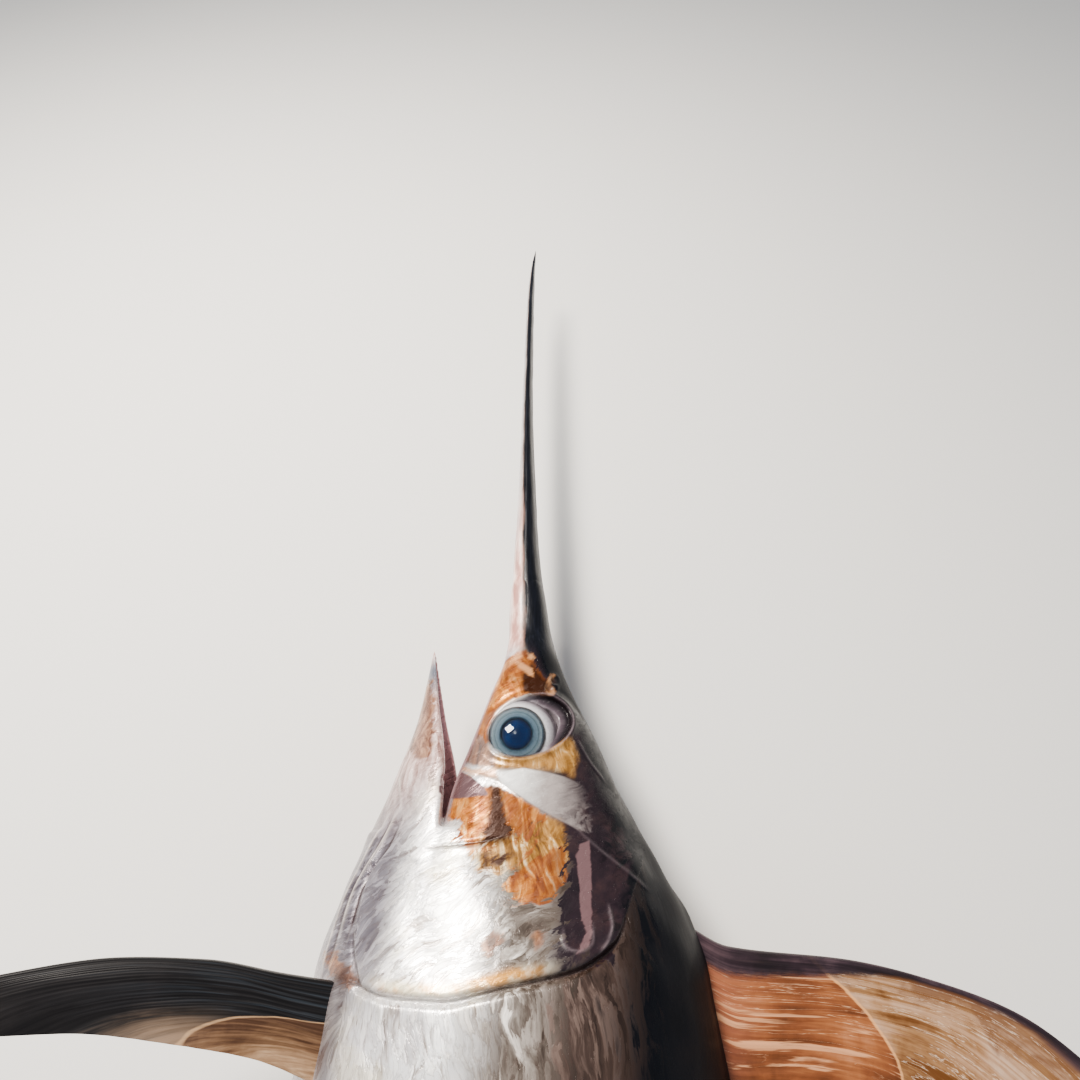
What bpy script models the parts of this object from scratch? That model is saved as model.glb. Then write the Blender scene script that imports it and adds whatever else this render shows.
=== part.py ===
"""A life-size young swordfish that lies on its right flank with its mouth open.

The fish is drawn in its own measures and then laid on the floor. Every place is given as
  back    metres towards the back (world +X), so a negative value is towards the belly
  behind  metres behind the tip of the closed lower jaw (world -Y), so the bill is negative
  left    metres towards the fish's left side (world +Z), counted from the body's middle plane
"""

import math

import bmesh
import bpy
import numpy as np
from mathutils import Matrix, Vector

# Driving dimensions, metres
GAP = 0.0003                # between two solids that touch
BILL_TIP = -0.512           # where the bill ends, ahead of the jaw
BILL_ROOT = -0.0200
JAW_TIP = -0.0040
MOUTH_CORNER = 0.0920
SHOULDER = 0.1800           # the head's rear face, under the gill covers
MID_TRUNK = 0.4500
VENT = 0.8000               # the rear trunk's end
STOCK_END = 0.9920          # the fleshy end of the tail
FORK = 1.0460               # the middle of the tail fin's rear edge
RING_POINTS = 32
BILL_POINTS = 20
LIP = 0.0012                # how far the lips stand out along the mouth's edges
PALATE_DEPTH = 0.0060

# How square the flesh's sections are: 1 draws an ellipse, less a fuller one
FLESH_ROUNDNESS = 0.952
LIP_ROUNDNESS = 0.714

# The body's lines, each a few (behind, value) pairs joined by a smooth curve
BACK_LINE = (
    (-0.020, 0.0262), (0.006, 0.0325), (0.033, 0.0425), (0.062, 0.0565), (0.102, 0.0735),
    (0.143, 0.0950), (0.170, 0.1070), (0.200, 0.1150), (0.280, 0.1190), (0.400, 0.1125),
    (0.550, 0.0930), (0.700, 0.0670), (0.820, 0.0430), (0.900, 0.0295), (0.950, 0.0208),
    (0.972, 0.0222), (0.992, 0.0150),
)
LIP_LINE = (
    (-0.020, -0.0070), (0.006, -0.0105), (0.040, -0.0231), (0.079, -0.0370), (MOUTH_CORNER, -0.0420),
)
BELLY_LINE = (
    (0.092, -0.0840), (0.123, -0.0945), (0.154, -0.1045), (0.198, -0.1150), (0.280, -0.1180),
    (0.400, -0.1130), (0.550, -0.0950), (0.700, -0.0680), (0.820, -0.0430), (0.900, -0.0290),
    (0.950, -0.0208), (0.972, -0.0222), (0.992, -0.0150),
)
HALF_WIDTH = (
    (-0.020, 0.0195), (0.006, 0.0260), (0.033, 0.0345), (0.062, 0.0425), (0.092, 0.0490),
    (0.125, 0.0580), (0.160, 0.0690), (0.200, 0.0785), (0.280, 0.0835), (0.400, 0.0795),
    (0.550, 0.0665), (0.700, 0.0480), (0.820, 0.0320), (0.900, 0.0235), (0.955, 0.0180),
    (0.992, 0.0050),
)
WIDEST_LEVEL = (
    (-0.020, 0.0100), (0.062, 0.0110), (0.092, 0.0040), (0.140, -0.0020), (0.400, -0.0020), (0.992, 0.0),
)
AXIS_HEIGHT = (
    (-0.512, 0.0800), (0.400, 0.0790), (0.600, 0.0720), (0.800, 0.0590), (0.945, 0.0495), (1.160, 0.0400),
)

BILL_TOP = (
    (-0.512, 0.0148), (-0.480, 0.0136), (-0.420, 0.0125), (-0.275, 0.0116), (-0.136, 0.0154),
    (-0.085, 0.0180), (-0.020, 0.0262),
)
BILL_UNDER = (
    (-0.512, 0.0137), (-0.480, 0.0090), (-0.420, 0.0046), (-0.275, 0.0012), (-0.136, -0.0016),
    (-0.085, -0.0036), (-0.020, -0.0070),
)
BILL_HALF_WIDTH = (
    (-0.512, 0.0008), (-0.480, 0.0045), (-0.420, 0.0080), (-0.275, 0.0132), (-0.136, 0.0162),
    (-0.020, 0.0195),
)

JAW_TOP = ((JAW_TIP, -0.0632), (0.040, -0.0540), (MOUTH_CORNER, -0.0432))
JAW_UNDER = (
    (JAW_TIP, -0.0640), (0.025, -0.0672), (0.048, -0.0708), (0.065, -0.0752), (MOUTH_CORNER, -0.0838),
)
JAW_HALF_WIDTH = ((JAW_TIP, 0.0012), (0.020, 0.0095), (0.050, 0.0210), (MOUTH_CORNER, 0.0422))
JAW_WALL = 0.22             # the jaw's bony sides, as a share of its half width
JAW_HOLLOW = 0.62           # the trough's depth, as a share of the jaw's

# Where the closed part of the mouth runs on behind its corner, as (back, behind) places
MOUTH_LINE = ((-0.0415, 0.0900), (-0.0440, 0.1010), (-0.0485, 0.1120), (-0.0540, 0.1210))
MOUTH_LINE_DEPTH = 0.0030
MOUTH_LINE_WIDTH = 0.0013

EYE_CENTRE = (0.0112, 0.0640, 0.0290)
EYE_RADII = (0.0300, 0.0268, 0.0200)   # towards the back, along the fish, outwards
EYE_TURN = math.radians(15)            # the eye faces forward as the head narrows
ORBIT_RIM = 0.0034
ORBIT_LEVEL = 0.0105
NOSTRILS = ((0.0275, 0.0270, 0.0020), (0.0245, 0.0335, 0.0024))   # back, behind, radius
NOSTRIL_STRETCH = 1.5

# The gill cover's outline: down its height from 0 to 1, the places of its front and rear edges
COVER_TOP_LEVEL = 0.0620
COVER_LOW_LEVEL = -0.0800
COVER_FRONT = (
    (0.00, 0.1660), (0.06, 0.1500), (0.28, 0.1400), (0.60, 0.1390), (0.90, 0.1430), (1.00, 0.1640),
)
COVER_REAR = (
    (0.00, 0.1740), (0.05, 0.1830), (0.12, 0.1890), (0.39, 0.1960), (0.71, 0.2010), (0.93, 0.1985),
    (1.00, 0.1930),
)
COVER_THICKNESS = 0.0050
COVER_LIFT = 0.0022         # how far the rear edge stands proud of the flank
SEAT_REACH = 0.0080         # how far the cutter for the cover's seat stands out of the skin

# Fins are thickest at the root of the first ray, thin out to their margins and have raised rays
FIN_EDGE = 0.0004           # half the thickness at the free margin
FIN_THINNING = 0.55         # what the last ray lacks of the first one's thickness
RAY_HEIGHT = 0.00025
RAY_SHARE = 0.32            # a ray's height as a share of the membrane's half thickness
END_RAY_SHARE = 0.45        # the first and last rays' thickness, which rounds those edges


def smooth(pairs, at):
    """The value at a place on a line given as pairs, by a cubic that never overshoots them."""
    xs = np.array([p[0] for p in pairs])
    ys = np.array([p[1] for p in pairs])
    steps = np.diff(ys) / np.diff(xs)
    slopes = np.zeros(len(xs))
    slopes[0], slopes[-1] = steps[0], steps[-1]
    for i in range(1, len(xs) - 1):
        if steps[i - 1] * steps[i] > 0:
            slopes[i] = 2 / (1 / steps[i - 1] + 1 / steps[i])
    at = min(max(at, xs[0]), xs[-1])
    i = min(int(np.searchsorted(xs, at, side="right")) - 1, len(xs) - 2)
    width = xs[i + 1] - xs[i]
    t = (at - xs[i]) / width
    return float(
        ys[i] * (1 + 2 * t) * (1 - t) ** 2 + slopes[i] * width * t * (1 - t) ** 2
        + ys[i + 1] * t * t * (3 - 2 * t) + slopes[i + 1] * width * t * t * (t - 1)
    )


def along(points, t):
    """A point on a smooth curve through points, t running from 0 to 1 by the chord lengths."""
    pts = np.array(points, float)
    reach = np.concatenate([[0], np.cumsum(np.linalg.norm(np.diff(pts, axis=0), axis=1))])
    reach = reach / reach[-1]
    return np.array([smooth(list(zip(reach, pts[:, k])), t) for k in range(pts.shape[1])])


def lay_down(back, behind, left):
    """World place of a point given in the fish's own measures, never below the floor."""
    return Vector((back, -behind, max(smooth(AXIS_HEIGHT, behind) + left, 0.0)))


def flesh_point(behind, angle, grow=0.0, upper_only=False):
    """A point on the skin. Angle 0 is the back, a quarter turn the left side, a half turn the belly."""
    top, level = smooth(BACK_LINE, behind), smooth(WIDEST_LEVEL, behind)
    under = smooth(LIP_LINE if upper_only else BELLY_LINE, behind)
    c, s = math.cos(angle), math.sin(angle)
    power = LIP_ROUNDNESS if c < 0 and upper_only else FLESH_ROUNDNESS
    reach = (top - level if c > 0 else level - under) + grow
    back = level + math.copysign(abs(c) ** power, c) * reach
    left = math.copysign(abs(s) ** power, s) * (smooth(HALF_WIDTH, behind) + grow)
    return back, behind, left


def skin_left(back, behind):
    """How far the flank stands out from the middle plane at a given level."""
    level = smooth(WIDEST_LEVEL, behind)
    reach = smooth(BACK_LINE, behind) - level if back > level else level - smooth(BELLY_LINE, behind)
    share = abs(back - level) / reach
    return smooth(HALF_WIDTH, behind) * (1 - share ** (2 / FLESH_ROUNDNESS)) ** (FLESH_ROUNDNESS / 2)


def material(name, colour, roughness, metallic=0.0):
    made = bpy.data.materials.new(name)
    made.use_nodes = True
    shader = made.node_tree.nodes["Principled BSDF"]
    shader.inputs["Base Color"].default_value = (*colour, 1.0)
    shader.inputs["Roughness"].default_value = roughness
    shader.inputs["Metallic"].default_value = metallic
    made.diffuse_color = (*colour, 1.0)
    return made


def make_object(name, points, faces, finish=None):
    """A mesh object from points in the world and faces, with its faces turned outwards."""
    mesh = bpy.data.meshes.new(name)
    mesh.from_pydata([tuple(p) for p in points], [], faces)
    shape = bmesh.new()
    shape.from_mesh(mesh)
    bmesh.ops.remove_doubles(shape, verts=shape.verts, dist=1e-6)
    bmesh.ops.dissolve_degenerate(shape, edges=shape.edges, dist=1e-6)
    bmesh.ops.recalc_face_normals(shape, faces=shape.faces)
    shape.to_mesh(mesh)
    shape.free()
    made = bpy.data.objects.new(name, mesh)
    bpy.context.scene.collection.objects.link(made)
    if finish:
        mesh.materials.append(finish)
    mesh.shade_smooth()
    mesh.set_sharp_from_angle(angle=math.radians(40))
    return made


def loft(name, rings, finish=None):
    """A closed skin over rings of points, flat at both ends."""
    count = len(rings[0])
    points = [p for ring in rings for p in ring]
    faces = [list(range(count)), [count * (len(rings) - 1) + i for i in range(count)][::-1]]
    for r in range(len(rings) - 1):
        for i in range(count):
            j = (i + 1) % count
            a, b = r * count + i, r * count + j
            faces.append([a, b, b + count])
            faces.append([a, b + count, a + count])
    return make_object(name, points, faces, finish)


def combine(target, other, operation):
    """Cuts other from target, or joins it, and keeps the largest closed surface."""
    change = target.modifiers.new("shape", "BOOLEAN")
    change.operation = operation
    change.object = other
    change.solver = "EXACT"
    bpy.context.view_layer.update()
    view = bpy.context.evaluated_depsgraph_get()
    made = bpy.data.meshes.new_from_object(target.evaluated_get(view), depsgraph=view)
    target.modifiers.remove(change)
    old, target.data = target.data, made
    bpy.data.meshes.remove(old)
    keep_largest(target)


def keep_largest(target):
    shape = bmesh.new()
    shape.from_mesh(target.data)
    left, groups = set(shape.verts), []
    while left:
        group, front = set(), [left.pop()]
        while front:
            vert = front.pop()
            group.add(vert)
            for edge in vert.link_edges:
                other = edge.other_vert(vert)
                if other in left:
                    left.remove(other)
                    front.append(other)
        groups.append(group)
    groups.sort(key=len, reverse=True)
    loose = [v for group in groups[1:] for v in group]
    bmesh.ops.delete(shape, geom=loose, context="VERTS")
    shape.to_mesh(target.data)
    shape.free()


def discard(*objects):
    for thing in objects:
        bpy.data.objects.remove(thing)


def section(behind, grow=0.0, upper_only=False):
    """One ring of skin round the fish, with a hollowed palate where the mouth is open."""
    ring = []
    for i in range(RING_POINTS):
        angle = 2 * math.pi * i / RING_POINTS
        back, place, left = flesh_point(behind, angle, grow, upper_only)
        if upper_only and math.cos(angle) < 0:
            share = abs(left) / smooth(HALF_WIDTH, behind)
            inward = 1 - min(share / 0.62, 1) ** 2
            lip = math.exp(-((share - 0.84) / 0.1) ** 2)
            back += PALATE_DEPTH * inward - LIP * lip
        ring.append(lay_down(back, place, left))
    return ring


HEAD_STEPS = (-0.010, 0.000, 0.010, 0.020, 0.030, 0.040, 0.050, 0.062, 0.074, 0.084)
CHEEK_STEPS = (0.100, 0.112, 0.125, 0.138, 0.152, 0.166)
FRONT_STEPS = (0.195, 0.212, 0.232, 0.256, 0.285, 0.320, 0.360, 0.400)
REAR_STEPS = (0.490, 0.535, 0.580, 0.625, 0.670, 0.715, 0.760)
STOCK_STEPS = (0.830, 0.860, 0.885, 0.905, 0.925, 0.940, 0.955, 0.970, 0.980, 0.987)


def make_head(finish):
    """Skull, cheeks and throat, from the bill's root to the shoulder. The mouth's back wall is flat."""
    front = [section(s, upper_only=True) for s in (BILL_ROOT, *HEAD_STEPS, MOUTH_CORNER)]
    rear = [section(s) for s in (MOUTH_CORNER + GAP, *CHEEK_STEPS, SHOULDER)]
    return loft("head", front + rear, finish)


def make_trunk(name, start, steps, end, finish):
    return loft(name, [section(s) for s in (start, *steps, end)], finish)


def make_flesh_cutter():
    """The whole body grown by one gap, which trims each fin to the skin."""
    places = (
        MOUTH_CORNER + GAP, *CHEEK_STEPS, SHOULDER, *FRONT_STEPS, MID_TRUNK, *REAR_STEPS, VENT,
        *STOCK_STEPS, STOCK_END, STOCK_END + GAP,
    )
    return loft("flesh_cutter", [section(s, GAP) for s in places])


def make_bill(finish):
    """The sword: a flattened blade, rounder where it grows from the head."""
    rings = []
    for s in (*np.linspace(BILL_TIP, -0.44, 6), *np.linspace(-0.40, -0.06, 11), -0.040, BILL_ROOT - GAP):
        top, under, half = (smooth(line, s) for line in (BILL_TOP, BILL_UNDER, BILL_HALF_WIDTH))
        middle, thick = (top + under) / 2, (top - under) / 2
        ring = []
        for i in range(BILL_POINTS):
            angle = 2 * math.pi * i / BILL_POINTS
            ring.append(lay_down(middle + thick * math.cos(angle), s, half * math.sin(angle)))
        rings.append(ring)
    return loft("bill", rings, finish)


def make_jaw(finish):
    """The lower jaw: a pointed trough with two rami, hanging open below the mouth's corner."""
    outer_points, inner_points = 13, 11
    rings = []
    for s in (JAW_TIP, 0.002, 0.010, 0.020, 0.030, 0.042, 0.054, 0.066, 0.079, MOUTH_CORNER - GAP):
        top, under, half = (smooth(line, s) for line in (JAW_TOP, JAW_UNDER, JAW_HALF_WIDTH))
        deep, wall = top - under, JAW_WALL * half
        ring = []
        for i in range(outer_points):
            turn = math.pi * i / (outer_points - 1)
            across = math.copysign(abs(math.cos(turn)) ** 1.35, math.cos(turn))
            lip = LIP * math.exp(-(math.sin(turn) / 0.3) ** 2) * min(half / 0.02, 1)
            ring.append(lay_down(top - deep * math.sin(turn), s, (half + lip) * across))
        for i in range(inner_points):
            turn = math.pi * (1 - i / (inner_points - 1))
            hollow = JAW_HOLLOW * deep * math.sin(turn) ** 0.9
            ring.append(lay_down(top - hollow, s, (half - wall) * math.cos(turn)))
        rings.append(ring)
    return loft("lower_jaw", rings, finish)


def eye_frame(side):
    """Where an eye sits, and how it is turned. Side is 1 for the left eye and -1 for the right."""
    back, behind, left = EYE_CENTRE
    place = Matrix.Translation(lay_down(back, behind, side * left))
    return place @ Matrix.Rotation(-side * EYE_TURN, 4, "X")


def make_eyeball(name, side, grow=0.0, finish=None):
    columns, rows = 18, 8
    frame = eye_frame(side)
    a, b, c = (r + grow for r in EYE_RADII)
    rings = []
    for j in range(1, rows):
        lean = math.pi * j / rows
        ring = []
        for i in range(columns):
            turn = 2 * math.pi * i / columns
            out = math.sin(lean)
            local = Vector((a * out * math.cos(turn), b * out * math.sin(turn), c * math.cos(lean)))
            ring.append(frame @ local)
        rings.append(ring)
    return loft(name, rings, finish)


def make_orbit_rim(name, side):
    """The raised edge of skin round the eye."""
    columns, rows = 20, 5
    frame = eye_frame(side)
    a, b, c = EYE_RADII
    points, faces = [], []
    for i in range(columns):
        turn = 2 * math.pi * i / columns
        for j in range(rows):
            lean = 2 * math.pi * j / rows
            reach = 1 + ORBIT_RIM / a * math.cos(lean)
            height = side * (ORBIT_LEVEL + ORBIT_RIM * math.sin(lean))
            points.append(frame @ Vector((a * reach * math.cos(turn), b * reach * math.sin(turn), height)))
            n, m = (i + 1) % columns, (j + 1) % rows
            faces.append([i * rows + j, n * rows + j, n * rows + m, i * rows + m])
    return make_object(name, points, faces)


def make_nostril(side, back, behind, radius):
    """A small dimple cutter that sits on the skin ahead of the eye."""
    centre = lay_down(back, behind, side * skin_left(back, behind))
    long = radius * NOSTRIL_STRETCH
    rings = []
    for j in range(1, 4):
        lean = math.pi * j / 4
        ring = []
        for i in range(8):
            turn = 2 * math.pi * i / 8
            local = (radius * math.cos(turn), long * math.sin(turn), long * math.cos(lean) / math.sin(lean))
            ring.append(centre + math.sin(lean) * Vector(local))
        rings.append(ring)
    return loft("nostril_cutter", rings)


def make_mouth_line(side):
    """A thin wedge that cuts the closed part of the mouth into the cheek."""
    rings = []
    for step, (back, behind) in enumerate(MOUTH_LINE):
        fade = 1 - 0.7 * step / (len(MOUTH_LINE) - 1)
        left = skin_left(back, behind)
        wide, deep = MOUTH_LINE_WIDTH * fade, MOUTH_LINE_DEPTH * fade
        corners = ((0, -deep), (wide, 0), (wide, deep), (-wide, deep), (-wide, 0))
        rings.append([lay_down(back + b, behind, side * (left + out)) for b, out in corners])
    return loft("mouth_line_cutter", rings)


def cover_angle(behind, level):
    """The angle round the body at which the flank has a given level."""
    widest = smooth(WIDEST_LEVEL, behind)
    reach = smooth(BACK_LINE, behind) - widest if level > widest else widest - smooth(BELLY_LINE, behind)
    share = abs(level - widest) / reach
    return math.acos(math.copysign(share ** (1 / FLESH_ROUNDNESS), level - widest))


def make_gill_cover(name, side, grow=0.0, finish=None):
    """A thin plate over the gills. With grow it is the cutter for the plate's seat."""
    down, across = 10, 5
    outer, inner = [], []
    for i in range(down + 1):
        t = i / down
        level = COVER_TOP_LEVEL + grow + (COVER_LOW_LEVEL - COVER_TOP_LEVEL - 2 * grow) * t
        front, rear = smooth(COVER_FRONT, t) - grow, smooth(COVER_REAR, t) + grow
        for j in range(across + 1):
            share = j / across
            s = front + (rear - front) * share
            angle = side * cover_angle(s, level)
            lift = SEAT_REACH if grow else COVER_LIFT * share ** 2
            outer.append(lay_down(*flesh_point(s, angle, lift)))
            inner.append(lay_down(*flesh_point(s, angle, -COVER_THICKNESS - grow)))
    return make_object(name, outer + inner, sheet_faces(down + 1, across + 1), finish)


def sheet_faces(rows, columns):
    """Faces of a thin closed sheet: an outer and an inner grid split alike, and the rim between them."""
    count = rows * columns
    faces = []
    for i in range(rows - 1):
        for j in range(columns - 1):
            a = i * columns + j
            b, c, d = a + 1, a + columns + 1, a + columns
            faces += [[a, b, c], [a, c, d]]
            faces += [[count + a, count + c, count + b], [count + a, count + d, count + c]]
    rim = [j for j in range(columns)]
    rim += [i * columns + columns - 1 for i in range(1, rows)]
    rim += [(rows - 1) * columns + j for j in range(columns - 2, -1, -1)]
    rim += [i * columns for i in range(rows - 2, 0, -1)]
    for a, b in zip(rim, rim[1:] + rim[:1]):
        faces += [[a, b, count + b], [a, count + b, count + a]]
    return faces


def make_fin(name, base, leading, margin, rays, rows, thick, finish, edge=FIN_EDGE):
    """A fin whose rays run from its base to its free margin and stand up from the membrane as ridges.

    base and margin are curves from the first ray to the last; leading is the first ray's own curve.
    """
    columns = 2 * rays + 1
    grid = np.zeros((columns, rows + 1, 3))
    for i in range(columns):
        u = i / (columns - 1)
        foot, end = along(base, u), along(margin, u)
        for j in range(rows + 1):
            w = j / rows
            bow = along(leading, w) - ((1 - w) * np.array(base[0]) + w * np.array(margin[0]))
            grid[i, j] = (1 - w) * foot + w * end + (1 - u) ** 1.6 * bow
    places = np.array([[lay_down(*grid[i, j]) for j in range(rows + 1)] for i in range(columns)])
    across, out = np.gradient(places, axis=0), np.gradient(places, axis=1)
    normal = np.cross(across, out)
    normal /= np.linalg.norm(normal, axis=2)[:, :, None]
    outer, inner = [], []
    for i in range(columns):
        u = i / (columns - 1)
        for j in range(rows + 1):
            w = j / rows
            body = edge + (thick - edge) * (1 - w) ** 1.3 * (1 - FIN_THINNING * u)
            ridge = RAY_SHARE * body + RAY_HEIGHT if i % 2 else 0.0
            rounded = END_RAY_SHARE if i in (0, columns - 1) else 1.0
            half = (body + ridge * (1 - w) ** 0.5) * rounded
            outer.append(Vector(places[i, j] + normal[i, j] * half))
            inner.append(Vector(places[i, j] - normal[i, j] * half))
    for point in outer + inner:
        point.z = max(point.z, 0.0)
    return make_object(name, outer + inner, sheet_faces(columns, rows + 1), finish)


DORSAL_BASE = ((0.086, 0.156, 0), (0.104, 0.220, 0), (0.104, 0.316, 0))
DORSAL_LEADING = (
    (0.086, 0.156, 0), (0.112, 0.175, 0), (0.132, 0.184, 0), (0.204, 0.191, 0), (0.261, 0.204, 0),
    (0.301, 0.220, 0), (0.365, 0.282, 0))
DORSAL_MARGIN = (
    (0.365, 0.282, 0), (0.310, 0.267, 0), (0.255, 0.266, 0), (0.205, 0.274, 0), (0.165, 0.292, 0),
    (0.134, 0.320, 0), (0.108, 0.324, 0))
SECOND_DORSAL_BASE = ((0.022, 0.876, 0), (0.018, 0.902, 0))
SECOND_DORSAL_LEADING = ((0.022, 0.876, 0), (0.045, 0.893, 0), (0.060, 0.914, 0))
SECOND_DORSAL_MARGIN = ((0.060, 0.914, 0), (0.042, 0.913, 0), (0.034, 0.928, 0), (0.020, 0.908, 0))
ANAL_BASE = ((-0.060, 0.650, 0), (-0.052, 0.700, 0), (-0.044, 0.748, 0))
ANAL_LEADING = ((-0.060, 0.650, 0), (-0.098, 0.674, 0), (-0.138, 0.702, 0), (-0.168, 0.738, 0))
ANAL_MARGIN = (
    (-0.168, 0.738, 0), (-0.126, 0.727, 0), (-0.098, 0.738, 0), (-0.074, 0.768, 0), (-0.044, 0.756, 0))
SECOND_ANAL_BASE = ((-0.024, 0.862, 0), (-0.019, 0.890, 0))
SECOND_ANAL_LEADING = ((-0.024, 0.862, 0), (-0.047, 0.880, 0), (-0.063, 0.902, 0))
SECOND_ANAL_MARGIN = ((-0.063, 0.902, 0), (-0.044, 0.901, 0), (-0.036, 0.916, 0), (-0.021, 0.896, 0))
LOBE_BASE = ((0.0165, 0.958, 0), (0.0002, 0.986, 0))
LOBE_LEADING = (
    (0.0165, 0.958, 0), (0.033, 0.982, 0), (0.078, 1.027, 0), (0.134, 1.083, 0), (0.192, 1.152, 0))
LOBE_MARGIN = (
    (0.192, 1.152, 0), (0.146, 1.120, 0), (0.098, 1.091, 0), (0.048, 1.065, 0), (0.0002, FORK, 0))
KEEL_BASE = ((0, 0.868, 0.016), (0, 0.930, 0.012), (0, 0.984, 0.003))
KEEL_MARGIN = (
    (0, 0.872, 0.028), (0, 0.925, 0.047), (0, 0.950, 0.050), (0, 0.975, 0.046), (0, 0.992, 0.030))
# The left pectoral fin is spread out from the breast; the right one is folded back under the body
SPREAD_BASE = ((-0.083, 0.197, 0.045), (-0.085, 0.238, 0.046))
SPREAD_LEADING = (
    (-0.083, 0.197, 0.045), (-0.116, 0.191, 0.059), (-0.151, 0.184, 0.073), (-0.186, 0.182, 0.088),
    (-0.227, 0.187, 0.106), (-0.268, 0.200, 0.123), (-0.297, 0.222, 0.135))
SPREAD_MARGIN = (
    (-0.297, 0.222, 0.135), (-0.250, 0.209, 0.115), (-0.201, 0.210, 0.094), (-0.154, 0.217, 0.075),
    (-0.124, 0.224, 0.062), (-0.090, 0.238, 0.048))
FOLDED_BASE = ((-0.085, 0.203, -0.046), (-0.080, 0.238, -0.048))
FOLDED_LEADING = (
    (-0.085, 0.203, -0.046), (-0.113, 0.222, -0.058), (-0.134, 0.262, -0.067), (-0.142, 0.325, -0.070),
    (-0.128, 0.412, -0.068))
FOLDED_MARGIN = (
    (-0.128, 0.412, -0.068), (-0.116, 0.350, -0.068), (-0.108, 0.300, -0.067), (-0.099, 0.262, -0.062),
    (-0.083, 0.240, -0.050))


def mirrored(points, side, axis):
    """The same points on the fish's other side: axis 0 swaps back and belly, axis 2 left and right."""
    return tuple(tuple(side * v if k == axis else v for k, v in enumerate(p)) for p in points)


def make_keel(name, side, finish):
    """The stout ridge on each side of the tail."""
    base, margin = (mirrored(points, side, 2) for points in (KEEL_BASE, KEEL_MARGIN))
    return make_fin(name, base, (base[0], margin[0]), margin, 7, 3, 0.0055, finish, edge=0.0014)


def main():
    for thing in list(bpy.data.objects):
        bpy.data.objects.remove(thing)
    hide = material("dark_hide", (0.10, 0.07, 0.06), 0.35)
    silver = material("silver_flank", (0.55, 0.50, 0.47), 0.28)
    sword = material("bill_horn", (0.14, 0.12, 0.12), 0.35)
    fin_hide = material("fin_membrane", (0.09, 0.06, 0.05), 0.40)
    glass = material("eye", (0.05, 0.12, 0.20), 0.08)

    make_bill(sword)
    head = make_head(silver)
    jaw = make_jaw(silver)
    front = make_trunk("trunk_front", SHOULDER + GAP, FRONT_STEPS, MID_TRUNK - GAP, silver)
    make_trunk("trunk_rear", MID_TRUNK, REAR_STEPS, VENT - GAP, silver)
    make_trunk("tail_stock", VENT, STOCK_STEPS, STOCK_END, hide)

    for side, name in ((1, "left"), (-1, "right")):
        rim = make_orbit_rim("rim", side)
        combine(head, rim, "UNION")
        socket = make_eyeball("socket", side, GAP)
        combine(head, socket, "DIFFERENCE")
        discard(rim, socket)
        make_eyeball("eye_" + name, side, finish=glass)
        for cutter in [make_nostril(side, *nostril) for nostril in NOSTRILS] + [make_mouth_line(side)]:
            combine(head, cutter, "DIFFERENCE")
            discard(cutter)
        seat = make_gill_cover("seat", side, GAP)
        combine(head, seat, "DIFFERENCE")
        combine(front, seat, "DIFFERENCE")
        discard(seat)
        make_gill_cover("gill_cover_" + name, side, finish=silver)

    fins = [
        make_fin("dorsal_fin_first", DORSAL_BASE, DORSAL_LEADING, DORSAL_MARGIN, 13, 8, 0.0050, fin_hide),
        make_fin("dorsal_fin_second", SECOND_DORSAL_BASE, SECOND_DORSAL_LEADING, SECOND_DORSAL_MARGIN,
                 4, 4, 0.0022, fin_hide),
        make_fin("anal_fin_first", ANAL_BASE, ANAL_LEADING, ANAL_MARGIN, 9, 5, 0.0036, fin_hide),
        make_fin("anal_fin_second", SECOND_ANAL_BASE, SECOND_ANAL_LEADING, SECOND_ANAL_MARGIN,
                 4, 4, 0.0022, fin_hide),
        make_fin("pectoral_fin_left", SPREAD_BASE, SPREAD_LEADING, SPREAD_MARGIN, 10, 7, 0.0040, fin_hide),
        make_fin("pectoral_fin_right", FOLDED_BASE, FOLDED_LEADING, FOLDED_MARGIN, 10, 6, 0.0034, fin_hide),
        make_keel("keel_left", 1, hide),
        make_keel("keel_right", -1, hide),
    ]
    for side, name in ((1, "tail_fin_upper"), (-1, "tail_fin_lower")):
        base, leading, margin = (mirrored(p, side, 0) for p in (LOBE_BASE, LOBE_LEADING, LOBE_MARGIN))
        fins.append(make_fin(name, base, leading, margin, 10, 6, 0.0055, fin_hide))
    cutter = make_flesh_cutter()
    for fin in fins:
        combine(fin, cutter, "DIFFERENCE")
    discard(cutter)

    everything = [o for o in bpy.data.objects if o.type == "MESH"]
    corners = np.array([v.co[:] for o in everything for v in o.data.vertices])
    low, high = corners.min(axis=0), corners.max(axis=0)
    shift = Matrix.Translation((-(low[0] + high[0]) / 2, -(low[1] + high[1]) / 2, 0))
    for thing in everything:
        thing.data.transform(shift)


main()
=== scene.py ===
"""A young swordfish laid on its right flank: its skin, bill, eyes and fins, and the light on it."""

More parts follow.
